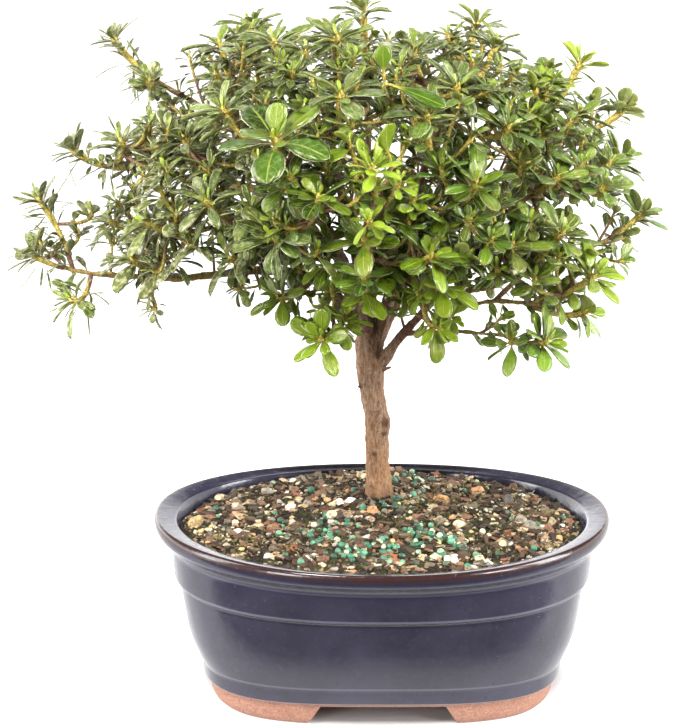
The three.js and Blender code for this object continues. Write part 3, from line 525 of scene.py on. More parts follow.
def young_stem():
    """This year's shoots, downy and yellow-tan, ageing to a reddish brown bark."""
    material, shader, add = new_material("azalea_shoot_downy", IOR=1.45, Roughness=0.66)
    youth = add("CHANNELS", add("TONE"))[0]
    down = add("RANGE", add("NOISE", add("PLACE"), per_mm(0.9), 4, 0.55), 0.35, 0.65)
    old = add("MIX", down, "#5E3F33", "#96705C")
    new = add("MIX", down, "#8A762B", "#D4C060")
    join(add("MIX", youth, old, new), shader, "Base Color")
    join(add("BUMP", down, 0.18 * MM), shader, "Normal")
    return material


def damp_peat():
    """Dark peat and fine bark crumb, damp, with lighter fibres and some moss."""
    material, shader, add = new_material("damp_peat_and_bark_crumb", IOR=1.4, Roughness=0.9)
    place = add("PLACE")
    crumb = add("NOISE", place, per_mm(1.0), 6, 0.72)
    patch = add("NOISE", place, per_mm(11), 3, 0.55)
    colour = set_stops(add("RAMP", crumb),
                       [(0.32, "#080603"), (0.48, "#1D150C"), (0.58, "#3A2C19"), (0.72, "#7A6548")])
    moss = add("RANGE", patch, 0.5, 0.62, 0, 0.75)
    join(add("MIX", moss, colour, add("MIX", crumb, "#141A08", "#565A26")), shader, "Base Color")
    join(add("BUMP", crumb, 1.2 * MM), shader, "Normal")
    return material


def tinted_grit(name, stops, grain_mm, relief_mm, roughness, specular=0.4):
    """Loose grains, each of its own colour and more or less stained by the peat."""
    material, shader, add = new_material(name, IOR=1.5, Roughness=roughness, Specular_IOR_Level=specular)
    tint, stain, _ = add("CHANNELS", add("TONE"))
    grain = add("NOISE", add("PLACE"), per_mm(grain_mm), 4, 0.6)
    colour = set_stops(add("RAMP", tint), stops, "CONSTANT")
    colour = add("MIX", add("RANGE", grain, 0.4, 0.7, 0, 0.75), colour, "#4A3826")
    colour = add("MIX", add("RANGE", stain, 0.3, 1, 0, 0.75), colour, "#17110B")
    join(colour, shader, "Base Color")
    join(add("BUMP", grain, relief_mm * MM), shader, "Normal")
    return material


def weathered_gravel():
    """Pale pumice, quartz and tan stones, worn round, dusty and dull."""
    stops = [(0.0, "#E2D0A8"), (0.2, "#C2A674"), (0.34, "#EDE4CC"), (0.46, "#A39A88"),
             (0.58, "#B4B0A4"), (0.7, "#CE9A68"), (0.82, "#8C7C68"), (0.93, "#F2ECDA")]
    return tinted_grit("weathered_gravel_stone", stops, 2.2, 0.35, 0.75)


def pine_bark_chips():
    """Dry flakes of pine bark, split by hand, from grey-brown to fox red."""
    stops = [(0.0, "#574131"), (0.2, "#7C624B"), (0.36, "#8C5F49"), (0.48, "#33271F"),
             (0.64, "#A88A6C"), (0.78, "#6E6450"), (0.88, "#CDB58C"), (0.96, "#A35E38")]
    return tinted_grit("pine_bark_chips_dry", stops, 1.1, 0.35, 0.85)


def bark_and_lava_grit():
    """Sifted grit of bark and lava, rough and matt, some of it mossy."""
    stops = [(0.0, "#33261A"), (0.18, "#6B553D"), (0.34, "#94805C"), (0.46, "#211911"),
             (0.6, "#34391A"), (0.68, "#B8A47C"), (0.8, "#DCD2B2"), (0.93, "#74683A")]
    return tinted_grit("bark_and_lava_grit", stops, 0.9, 0.3, 0.85)


def coated_fertiliser():
    """Fertiliser beads in a smooth resin coat, green, some bleached or yellow."""
    stops = [(0.0, "#32805F"), (0.25, "#5F9E7C"), (0.5, "#9CC09A"), (0.66, "#22694E"),
             (0.86, "#C8D4AC"), (0.97, "#D9CB78")]
    return tinted_grit("resin_coated_fertiliser_bead", stops, 1.6, 0.06, 0.42, 0.5)


def dry_rootlet():
    """Fine dead roots and moss threads, dull and fibrous."""
    material, shader, add = new_material("dry_rootlet_fibre", IOR=1.4, Roughness=0.85)
    fibre = add("NOISE", add("PLACE"), per_mm(0.7), 3, 0.55)
    stops = [(0.0, "#3E3B1E"), (0.35, "#5E5A2C"), (0.6, "#6E5640"), (0.85, "#9A8560")]
    colour = set_stops(add("RAMP", add("CHANNELS", add("TONE"))[0]), stops, "CONSTANT")
    colour = add("MIX", add("RANGE", fibre, 0.4, 0.7, 0, 0.5), colour, "#2C2518")
    join(colour, shader, "Base Color")
    join(add("BUMP", fibre, 0.1 * MM), shader, "Normal")
    return material


def painted_floor():
    """A studio table of matt acrylic with grey cloth on the camera's side. Away from
    the pot it glows white, painted light that also hides the lamps' shadows; under and
    close round the pot it does not, which paints the pot's shadow there."""
    material, shader, add = new_material("white_acrylic_matt", Roughness=0.8, IOR=1.45,
                                         Specular_IOR_Level=0.2, Emission_Color=linear("#FFFFFF"))
    outward, _ = pot_coordinates(add)
    behind = add("RANGE", add("XYZ", add("PLACE"))[1], -0.15, -0.078)
    join(add("MIX", behind, "#464646", "#B4B4B4"), shader, "Base Color")
    # Painted light and shadow: the floor glows white away from the pot and not under it.
    glow_and_painted_shadow = add("ADD", add("RANGE", outward, 76, 91, 0, 0.8), add("RANGE", outward, 91, 150, 0, 0.2))
    join(add("MULTIPLY", glow_and_painted_shadow, behind), shader, "Emission Strength")
    return material


# Mesh helpers


def deselect_all():
    if bpy.context.object and bpy.context.object.mode != "OBJECT":
        bpy.ops.object.mode_set(mode="OBJECT")
    bpy.ops.object.select_all(action="DESELECT")


def make_active(piece):
    deselect_all()
    piece.select_set(True)
    bpy.context.view_layer.objects.active = piece


def apply_modifier(piece, kind, **settings):
    make_active(piece)
    modifier = piece.modifiers.new(kind.lower(), kind)
    for name, value in settings.items():
        setattr(modifier, name, value)
    bpy.ops.object.modifier_apply(modifier=modifier.name)


def settle(piece, smooth_angle=None):
    """Puts the place into the mesh and smooths the shading."""
    make_active(piece)
    bpy.ops.object.transform_apply(location=True, rotation=True, scale=True)
    if smooth_angle is None:
        bpy.ops.object.shade_smooth()
    else:
        bpy.ops.object.shade_smooth_by_angle(angle=math.radians(smooth_angle))
    deselect_all()


def new_object(name, data):
    """A new object in the scene with its mesh, camera or light."""
    thing = bpy.data.objects.new(name, data)
    bpy.context.scene.collection.objects.link(thing)
    return thing


def set_tones(mesh, tones):
    """Gives each point of a mesh its own values, which the materials read."""
    attribute = mesh.attributes.new("tone", "FLOAT_COLOR", "POINT")
    attribute.data.foreach_set("color", np.asarray(tones, dtype=np.float32).ravel())


def mesh_object(name, vertices, faces, materials, tones, face_materials=None, uvs=None, smooth=True):
    """A piece from arrays: vertices in metres, faces as lists of indices."""
    mesh = bpy.data.meshes.new(name)
    mesh.from_pydata([tuple(v) for v in vertices], [], faces)
    for material in materials:
        mesh.materials.append(material)
    if face_materials is not None:
        mesh.polygons.foreach_set("material_index", np.asarray(face_materials, dtype=np.int32))
    set_tones(mesh, tones)
    if uvs is not None:
        layer = mesh.uv_layers.new(name="leaf")
        corner_vertices = np.empty(len(mesh.loops), dtype=np.int32)
        mesh.loops.foreach_get("vertex_index", corner_vertices)
        layer.data.foreach_set("uv", np.asarray(uvs, dtype=np.float32)[corner_vertices].ravel())
    mesh.polygons.foreach_set("use_smooth", np.full(len(mesh.polygons), smooth))
    mesh.update()
    return new_object(name, mesh)


# Pot


def sagged(x, z):
    """The pot's rim sags in its middle and rises toward its ends."""
    rise = np.clip((z - FLOOR_TOP) / (POT_HEIGHT - FLOOR_TOP), 0, None)
    return z + RIM_SAG * rise * ((x / POT_HALF_LENGTH) ** 2 - 0.5)


def mesh_places(mesh):
    places = np.empty(len(mesh.vertices) * 3)
    mesh.vertices.foreach_get("co", places)
    return places.reshape(-1, 3)


def set_places(mesh, places):
    mesh.vertices.foreach_set("co", places.ravel())
    mesh.update()


def make_oval(mesh):
    """Moves every point of a turned shape out along its direction to the oval."""
    turned = mesh_places(mesh) / MM
    radius, angle = np.hypot(turned[:, 0], turned[:, 1]), np.arctan2(turned[:, 1], turned[:, 0])
    x, y = oval_place(radius, angle, turned[:, 2])
    set_places(mesh, np.stack([x, y, sagged(x, turned[:, 2])], axis=1) * MM)


def spin_profile(name, profile, steps):
    """Turns an outline of (radius, height) in millimetres round the upright axis."""
    mesh = bpy.data.meshes.new(name)
    points = [(radius * MM, 0.0, z * MM) for radius, z in profile]
    mesh.from_pydata(points, [(i, i + 1) for i in range(len(points) - 1)], [])
    piece = new_object(name, mesh)
    make_active(piece)
    bpy.ops.object.mode_set(mode="EDIT")
    bpy.ops.mesh.select_all(action="SELECT")
    bpy.ops.mesh.spin(steps=steps, angle=2 * math.pi, center=(0, 0, 0), axis=(0, 0, 1))
    bpy.ops.mesh.select_all(action="SELECT")
    bpy.ops.mesh.remove_doubles(threshold=1e-5)
    bpy.ops.mesh.normals_make_consistent(inside=False)
    bpy.ops.object.mode_set(mode="OBJECT")
    return piece


def rounded(profile):
    """Rounds those corners of an outline that carry a third number, the arc's reach."""
    points = []
    for i, (r, z, *reach) in enumerate(profile):
        if not reach:
            points.append((r, z))
            continue
        here = np.array([r, z], float)
        neighbours = (np.array(profile[k][:2], float) - here for k in (i - 1, i + 1))
        start, end = (here + unit(way) * min(reach[0], 0.45 * np.linalg.norm(way)) for way in neighbours)
        for k in range(CORNER_STEPS + 1):
            t = k / CORNER_STEPS
            points.append(tuple((1 - t) ** 2 * start + 2 * t * (1 - t) * here + t * t * end))
    return points


def arch_cutter(arch, along_x):
    """A long bar with sloping sides, to be cut away from under the pot."""
    top, bottom = arch
    deselect_all()
    bpy.ops.mesh.primitive_cube_add(size=1, location=tuple(to_row([0, 0, (FOOT_HEIGHT - 2) / 2])))
    bar = bpy.context.object
    bar.scale = (2 * bottom * MM, 3 * POT_HALF_LENGTH * MM, (FOOT_HEIGHT + 2) * MM)
    bpy.ops.object.transform_apply(location=True, rotation=False, scale=True)
    bpy.ops.object.mode_set(mode="EDIT")
    mesh = bmesh.from_edit_mesh(bar.data)
    for vertex in mesh.verts:
        vertex.select = vertex.co.z > 0.5 * FOOT_HEIGHT * MM
    mesh.select_flush(True)
    bmesh.update_edit_mesh(bar.data)
    bpy.ops.transform.resize(value=(top / bottom, 1, 1), center_override=tuple(POT_MIDDLE))
    bpy.ops.object.mode_set(mode="OBJECT")
    if along_x:
        bar.rotation_euler = (0, 0, math.pi / 2)
        turned = Vector(POT_MIDDLE)
        turned.rotate(bar.rotation_euler)
        bar.location = Vector(POT_MIDDLE) - turned
        bpy.ops.object.transform_apply(location=True, rotation=True, scale=True)
    return bar


def cut(piece, cutter):
    apply_modifier(piece, "BOOLEAN", operation="DIFFERENCE", object=cutter, solver="EXACT")
    bpy.data.objects.remove(cutter, do_unlink=True)


def make_pot(material):
    half = POT_HALF_LENGTH
    height = POT_HEIGHT
    profile = [
        (0, FOOT_HEIGHT), (64, FOOT_HEIGHT, 1), (64.5, 0, 1), (73.5, 0, 1.2), (76.6, 3, 2.5),
        (78.3, 10.1, 0.5), (80.1, 10.9, 0.8), (80.8, 16.8, 0.6), (82, 19, 1.2), (83.3, 21.6), (85.6, 26.6),
        (87.1, 31), (88.3, 36.2), (89.3, 41.8), (90.2, 47.8), (half - 11.5, 50.4, 0.6),
        (half - 10.8, 51.3, 0.6), (half - 8.9, 52, 0.6), (half - 8.5, 53.4, 0.8), (half - 7.9, 58),
        (half - 7.4, 62), (half - 7.1, height - 12, 0.8), (half - 6.3, height - 9.8, 1.2),
        (half - 4, height - 7.8), (half - 1.1, height - 5.7, 1.2), (half, height - 3.4, 1),
        (half, height - 1.1, 0.8), (half - 0.9, height, 0.8), (half - 5, height - 0.6),
        (half - 9.6, height - 1.4, 1), (half - 10.5, height - 2.6, 1.2), (88.4, 69), (86.5, 66, 2),
        (84.4, 50), (82, 36), (76.5, 21.5, 4), (67, FLOOR_TOP, 4), (0, FLOOR_TOP),
    ]
    pot = spin_profile("pot_body", rounded(profile), POT_STEPS)
    make_oval(pot.data)
    pot.location = POT_MIDDLE
    settle(pot)
    cut(pot, arch_cutter(LONG_ARCH, False))
    cut(pot, arch_cutter(SHORT_ARCH, True))
    for side in (-1, 1):
        deselect_all()
        middle = to_row([side * DRAIN_X, 0, (FOOT_HEIGHT + FLOOR_TOP) / 2])
        bpy.ops.mesh.primitive_cylinder_add(vertices=DRAIN_SIDES, radius=DRAIN_RADIUS * MM,
                                            depth=20 * MM, location=tuple(middle))
        cut(pot, bpy.context.object)
    apply_modifier(pot, "BEVEL", width=EDGE_ROUNDING * MM, segments=3, limit_method="ANGLE",
                   angle_limit=math.radians(48), use_clamp_overlap=True)
    pot.data.materials.clear()
    pot.data.materials.append(material)
    settle(pot, smooth_angle=40)
    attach(pot, "root")
    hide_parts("pot")


# Soil


def soil_height(x, y):
    """The top of the soil: a mound at the trunk, lower at its edge, most at the back."""
    away = np.hypot(x - TRUNK_X, y - TRUNK_Y) / SOIL_MOUND_SPREAD
    height = sagged(x, SOIL_EDGE_Z) + SOIL_MOUND * np.exp(-0.5 * away * away)
    width = between_foot_and_rim(WIDTH_RATIO, SOIL_EDGE_Z)
    edge = np.clip((np.hypot(x, y / width) / SOIL_HALF_LENGTH - DIP_START) / DIP_REACH, 0, 1)
    return height - SOIL_EDGE_DIP * edge * edge * np.clip(0.5 + np.asarray(y) / 40, 0.3, 1)


def make_soil_bed(material):
    """The body of the soil: a disc of rings with a crumbly top, its wall and floor
    following the inside of the pot."""
    profile = [(0, FLOOR_TOP + 1.3), (65, FLOOR_TOP + 1.3), (74.6, 23), (81, 37), (83.2, 50), (85.2, 66),
               (87.3, 69)]
    profile += [(SOIL_HALF_LENGTH * (1 - k / BED_RINGS), SOIL_EDGE_Z) for k in range(BED_RINGS + 1)]
    bed = spin_profile("soil_bed", profile, BED_STEPS)
    places = mesh_places(bed.data) / MM
    top = places[:, 2] > SOIL_EDGE_Z - 0.5
    inner = np.hypot(places[:, 0], places[:, 1]) < SOIL_HALF_LENGTH - 2
    make_oval(bed.data)
    places = mesh_places(bed.data) / MM
    places[top, 2] = soil_height(places[top, 0], places[top, 1])
    draw = np.random.default_rng(5)
    places[:, 2] += draw.normal(0, CRUMBLE, len(places)) * (top & inner)
    set_places(bed.data, places * MM)
    bed.location = POT_MIDDLE
    bed.data.materials.append(material)
    settle(bed)
    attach(bed, "root")
    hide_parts("soil")


def template_points(piece):
    """A modelled template's points and faces, after which it is removed."""
    places = mesh_places(piece.data)
    faces = [list(polygon.vertices) for polygon in piece.data.polygons]
    bpy.data.objects.remove(piece, do_unlink=True)
    return places, faces


def pebble_template(seed, angular):
    """One stone: an icosphere pushed out of round."""
    deselect_all()
    bpy.ops.mesh.primitive_ico_sphere_add(subdivisions=1 if angular else 2, radius=0.5)
    points, faces = template_points(bpy.context.object)
    draw = np.random.default_rng(seed)
    points *= 1 + draw.uniform(-0.25, 0.2, (len(points), 1))
    points *= np.array([1.0, draw.uniform(0.55, 0.9), STONE_FLATNESS])
    return points, faces


def chip_template(seed):
    """One flake of bark: a slab, split and skewed."""
    deselect_all()
    bpy.ops.mesh.primitive_cube_add(size=1)
    slab = bpy.context.object
    slab.scale = (1.0, 0.5, 0.2)
    bpy.ops.object.transform_apply(scale=True)
    bpy.ops.object.mode_set(mode="EDIT")
    bpy.ops.mesh.subdivide(number_cuts=1)
    bpy.ops.object.mode_set(mode="OBJECT")
    points, faces = template_points(slab)
    draw = np.random.default_rng(seed)
    points += draw.normal(0, 0.06, points.shape) * np.array([1.0, 1.0, 0.5])
    return points, faces


def bead_template(seed):
    """One round bead of coated fertiliser."""
    deselect_all()
    bpy.ops.mesh.primitive_uv_sphere_add(segments=9, ring_count=6, radius=0.5)
    points, faces = template_points(bpy.context.object)
    draw = np.random.default_rng(seed)
    return points * np.array([1.0, draw.uniform(0.88, 1.0), 0.94]), faces


def rotation(axis, angle):
    """Rotation matrix about an axis."""
    x, y, z = unit(np.array(axis, float))
    c, s = math.cos(angle), math.sin(angle)
    return np.array([
        [c + x * x * (1 - c), x * y * (1 - c) - z * s, x * z * (1 - c) + y * s],
        [y * x * (1 - c) + z * s, c + y * y * (1 - c), y * z * (1 - c) - x * s],
        [z * x * (1 - c) - y * s, z * y * (1 - c) + x * s, c + z * z * (1 - c)],
    ])


def scatter(name, templates, places, sizes, sink, tilt, material, seed, tints=None, smooth=False):
    """Copies templates to places on the soil, each turned at random, as one piece."""
    draw = np.random.default_rng(seed)
    vertices, faces, tones = [], [], []
    count = 0
    for index, ((x, y), size) in enumerate(zip(places, sizes)):
        points, template_faces = templates[draw.integers(len(templates))]
        heading = draw.uniform(0, 2 * math.pi)
        lean = rotation((math.cos(heading), math.sin(heading), 0), draw.normal(0, tilt))
        turn = lean @ rotation((0, 0, 1), draw.uniform(0, 2 * math.pi))
        base = np.array([x, y, soil_height(x, y) - sink * size])
        tint = tints[index] if tints else draw.uniform()
        vertices.append(to_row(points * size @ turn.T + base))
        faces += [[corner + count for corner in face] for face in template_faces]
        tones.append(np.tile([tint, draw.uniform(), 0.0, 1.0], (len(points), 1)))
        count += len(points)
    piece = mesh_object(name, np.concatenate(vertices), faces, [material], np.concatenate(tones),
                        smooth=smooth)
    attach(piece, "root")


def places_on_soil(draw, count, margin, middle=None, spread=None):
    """Random places inside the oval, clear of the trunk, or gathered round a middle."""
    width = between_foot_and_rim(WIDTH_RATIO, SOIL_EDGE_Z)
    power = between_foot_and_rim(OVAL_POWER, SOIL_EDGE_Z)
    places = []
    while len(places) < count:
        if middle is None:
            x = draw.uniform(-1, 1) * SOIL_HALF_LENGTH
            y = draw.uniform(-1, 1) * SOIL_HALF_LENGTH * width
        else:
            x, y = draw.normal(middle, spread)
        outward = (abs(x) ** power + abs(y / width) ** power) ** (1 / power)
        off_trunk = math.hypot(x - TRUNK_X, y - TRUNK_Y)
        if outward < SOIL_HALF_LENGTH - margin and off_trunk > TRUNK_CLEARANCE:
            places.append((x, y))
    return places


def make_rootlets(material):
    """Short bent threads of moss and dead root, thickest at the front left and to
    the right of the trunk."""
    draw = np.random.default_rng(41)
    spray = Spray(41)
    fibres = places_on_soil(draw, 130, 4, (-55, -30), (16, 9)) + places_on_soil(draw, 60, 4)
    moss = places_on_soil(draw, 260, 4, (34, -6), (22, 20))
    moss += places_on_soil(draw, 120, 4, (0, -30), (24, 12))
    for index, (x, y) in enumerate(fibres + moss):
        heading = draw.uniform(0, 2 * math.pi)
        reach = draw.uniform(2.5, 7)
        foot = np.array([x, y, soil_height(x, y) + 0.2])
        way = np.array([math.cos(heading), math.sin(heading), draw.uniform(0.1, 0.6)])
        thread = Twig(foot, foot + way * reach * 0.7, way * [1, 1, -0.4])
        tint = draw.uniform(0.4, 1) if index < len(fibres) else draw.uniform(0, 0.5)
        spray.add_stem(thread, 0.22, 0.14, None, 4, 4, tint)
    spray.finish("soil_rootlets", [material] * 3, slot="soil")


# The biggest stones, after the photograph: place, size and tint.
BIG_STONES = [
    ((-83, -8), 8.5, 0.25), ((-66, 12), 6, 0.1), ((-40, -12), 5, 0.5), ((-33, 6), 6, 0.4),
    ((-14, 5), 6, 0.95), ((-4, -7), 7, 0.72), ((-22, -9), 8, 0.15), ((27, 11), 7, 0.75),
    ((26, -14), 6, 0.1), ((34, -16), 6.5, 0.05), ((29, -52), 7, 0.35), ((22, -50), 5.5, 0.15),
    ((41, -50), 5, 0.05), ((62, -6), 7, 0.5), ((75, 4), 7, 0.3), ((58, 20), 7, 0.6),
    ((-52, 30), 7, 0.5), ((-8, 44), 7, 0.1), ((66, -12), 7, 0.4), ((52, -34), 5, 0.05),
    ((-74, 26), 6, 0.2), ((45, 30), 7, 0.8),
]

# Where the fertiliser beads lie thickest: middle, spread and how many.
BEAD_GROUPS = [
    ((-8, -46), (16, 5), 44), ((8, -36), (14, 8), 34), ((10, 34), (8, 8), 22),
    ((-27, -24), (9, 8), 36), ((24, -28), (6, 5), 20), ((5, 2), (10, 8), 22),
]


def make_soil_cover():
    """Everything loose on the soil, from the sifted grit to the biggest stones."""
    draw = np.random.default_rng(21)
    stones = [pebble_template(seed, seed % 2 == 0) for seed in range(8)]
    chips = [chip_template(seed) for seed in range(6)]
    beads = [bead_template(seed) for seed in range(3)]
    gravel = weathered_gravel()
    fine = places_on_soil(draw, 4300, 0.9)
    sizes = draw.uniform(0.9, 2.8, len(fine))
    scatter("soil_grit", stones[::2], fine, sizes, 0.0, 0.5, bark_and_lava_grit(), 31)
    flakes = places_on_soil(draw, 880, 3)
    sizes = np.minimum(draw.gamma(4, 0.9, len(flakes)) + 1, 6)
    scatter("soil_bark_chips", chips, flakes, sizes, -0.05, 0.4, pine_bark_chips(), 32)
    small = places_on_soil(draw, 560, 2)
    sizes = draw.gamma(4, 0.6, len(small)) + 1
    scatter("soil_small_stones", stones, small, sizes, 0.02, 0.3, gravel, 33)
    big, sizes, tints = zip(*BIG_STONES)
    scatter("soil_big_stones", stones[1::2], big, sizes, -0.12, 0.2, gravel, 34, tints)
    near = []
    for middle, spread, number in BEAD_GROUPS:
        near += places_on_soil(draw, number, 3, middle, spread)
    near += places_on_soil(draw, 40, 3)
    sizes = draw.gamma(30, 0.092, len(near))
    scatter("soil_fertiliser_beads", beads, near, sizes, -0.22, 0.3, coated_fertiliser(), 35, smooth=True)
    make_rootlets(dry_rootlet())


# Plant


def find_root(tip, taken):
    """The place on a limb that a twig best grows from: near the twig's tip, on a limb
    that heads its way, and apart from the places that are taken."""
    best = None
    for limb in LIMBS:
        for a, b in zip(limb, limb[1:]):
            a, b = np.array(a[:3], float), np.array(b[:3], float)
            along = unit(b - a)
            for share in (0.3, 0.65, 1):
                point = a + (b - a) * share
                way = tip - point
                distance = np.linalg.norm(way)
                crowding = sum(np.linalg.norm(other - point) < 1 for other in taken)
                cost = distance * (1.7 - way @ along / distance) + CROWDING_COST * crowding
                if distance > SHORTEST_TWIG and (best is None or cost < best[0]):
                    best = (cost, point)
    taken.append(best[1])
    return best[1]


class Twig:
    """A bent twig: where it starts, the place of its tip and the way it points there."""

    def __init__(self, root, tip, axis):
        self.root = np.array(root, float)
        self.tip = np.array(tip, float)
        self.axis = unit(np.array(axis, float))
        self.span = np.linalg.norm(self.tip - self.root)
        self.bend = self.tip - BEND_BACK * self.span * self.axis
        side = UP if abs(self.axis[2]) < 0.8 else np.array([1.0, 0, 0])
        self.across = unit(np.cross(self.axis, side))

    def at(self, share):
        return ((1 - share) ** 2 * self.root + 2 * share * (1 - share) * self.bend
                + share * share * self.tip)

    def along(self, share):
        return unit((1 - share) * (self.bend - self.root) + share * (self.tip - self.bend))

    def frame(self, share):
        along = self.along(share)
        u = unit(self.across - along * (self.across @ along))
        return along, u, np.cross(along, u)


def make_plan():
    """Where every shoot grows, drawn up in the same way as in the part."""
    plan, taken = {}, []
    for name, place, length, width, parent in SHOOTS:
        tip = np.array(place, float)
        root = plan[parent]["twig"].at(FORK_SHARE) if parent else find_root(tip, taken)
        straight = unit(tip - root)
        axis = unit(tip - CROWN_CENTRE) + UP * RISE + straight * FOLLOW
        twig = Twig(root, tip, axis)
        plan[name] = {
            "twig": twig, "length": length, "width": width, "node": parent or name,
            "leafy": "left" in name and twig.span > LEAFY_STEM_SPAN,
        }
    return plan


def leaf_template(stations, dome, fold):
    """One leaf as a thin closed shell. Stations are (share of length, half width),
    dome bows each half and fold lifts the edges to a V. The points are shares of
    length, width and width."""
    columns = (-1, -0.5, 0, 0.5, 1)
    points, uvs = [], []
    for share, half in stations:
        for x in columns:
            lift = (fold * abs(x) + dome * (1 - (2 * abs(x) - 1) ** 2)) * min(1, 3 * half)
            points.append((share, x * half, lift))
            uvs.append((0.5 + 0.5 * x, share))
    for share, half in stations:
        points.append((share, 0, -LEAF_THICKNESS))
        uvs.append((0.5, share))
    tip = len(points)
    points.append((1.0, 0.0, 0.0))
    uvs.append((0.5, 1.0))
    rows = len(stations)

    def below(row, column):
        """A point of the underside: its ridge in the middle, or one of the edges."""
        return rows * 5 + row if column == 1 else row * 5 + 2 * column

    faces, sides = [], []
    for row in range(rows - 1):
        for column in range(4):
            a, b = row * 5 + column, row * 5 + column + 1
            faces.append([a, b, b + 5, a + 5])
            sides.append(UPPER_SIDE)
        for column in range(2):
            faces.append([below(row, column), below(row + 1, column),
                          below(row + 1, column + 1), below(row, column + 1)])
            sides.append(UNDER_SIDE)
    for column in range(4):
        a = (rows - 1) * 5 + column
        faces.append([a, a + 1, tip])
        sides.append(UPPER_SIDE)
    for column in range(2):
        faces.append([below(rows - 1, column), tip, below(rows - 1, column + 1)])
        sides.append(UNDER_SIDE)
    faces.append([0, below(0, 1), 4, 3, 2, 1])
    sides.append(UNDER_SIDE)
    return np.array(points), np.array(uvs), faces, sides


# The spoon-shaped and the lance-shaped leaf: how much each bows and folds, and both
# by whether they are lance-shaped and plain. Plain ones have fewer faces, for small
# leaves and for those inside and behind.
SPOON_BOW = (0.07, 0.03)
LANCE_BOW = (0.05, 0.24)
LEAF_SHAPES = {
    (False, False): leaf_template([(0, 0.06), (0.13, 0.09), (0.3, 0.25), (0.52, 0.46), (0.72, 0.5),
                                   (0.88, 0.4), (0.97, 0.2)], *SPOON_BOW),
    (False, True): leaf_template([(0, 0.06), (0.2, 0.14), (0.5, 0.45), (0.76, 0.5),
                                  (0.94, 0.3)], *SPOON_BOW),
    (True, False): leaf_template([(0, 0.08), (0.15, 0.12), (0.35, 0.3), (0.58, 0.47), (0.76, 0.5),
                                  (0.92, 0.34)], *LANCE_BOW),
    (True, True): leaf_template([(0, 0.08), (0.22, 0.17), (0.55, 0.46), (0.82, 0.47)], *LANCE_BOW),
}


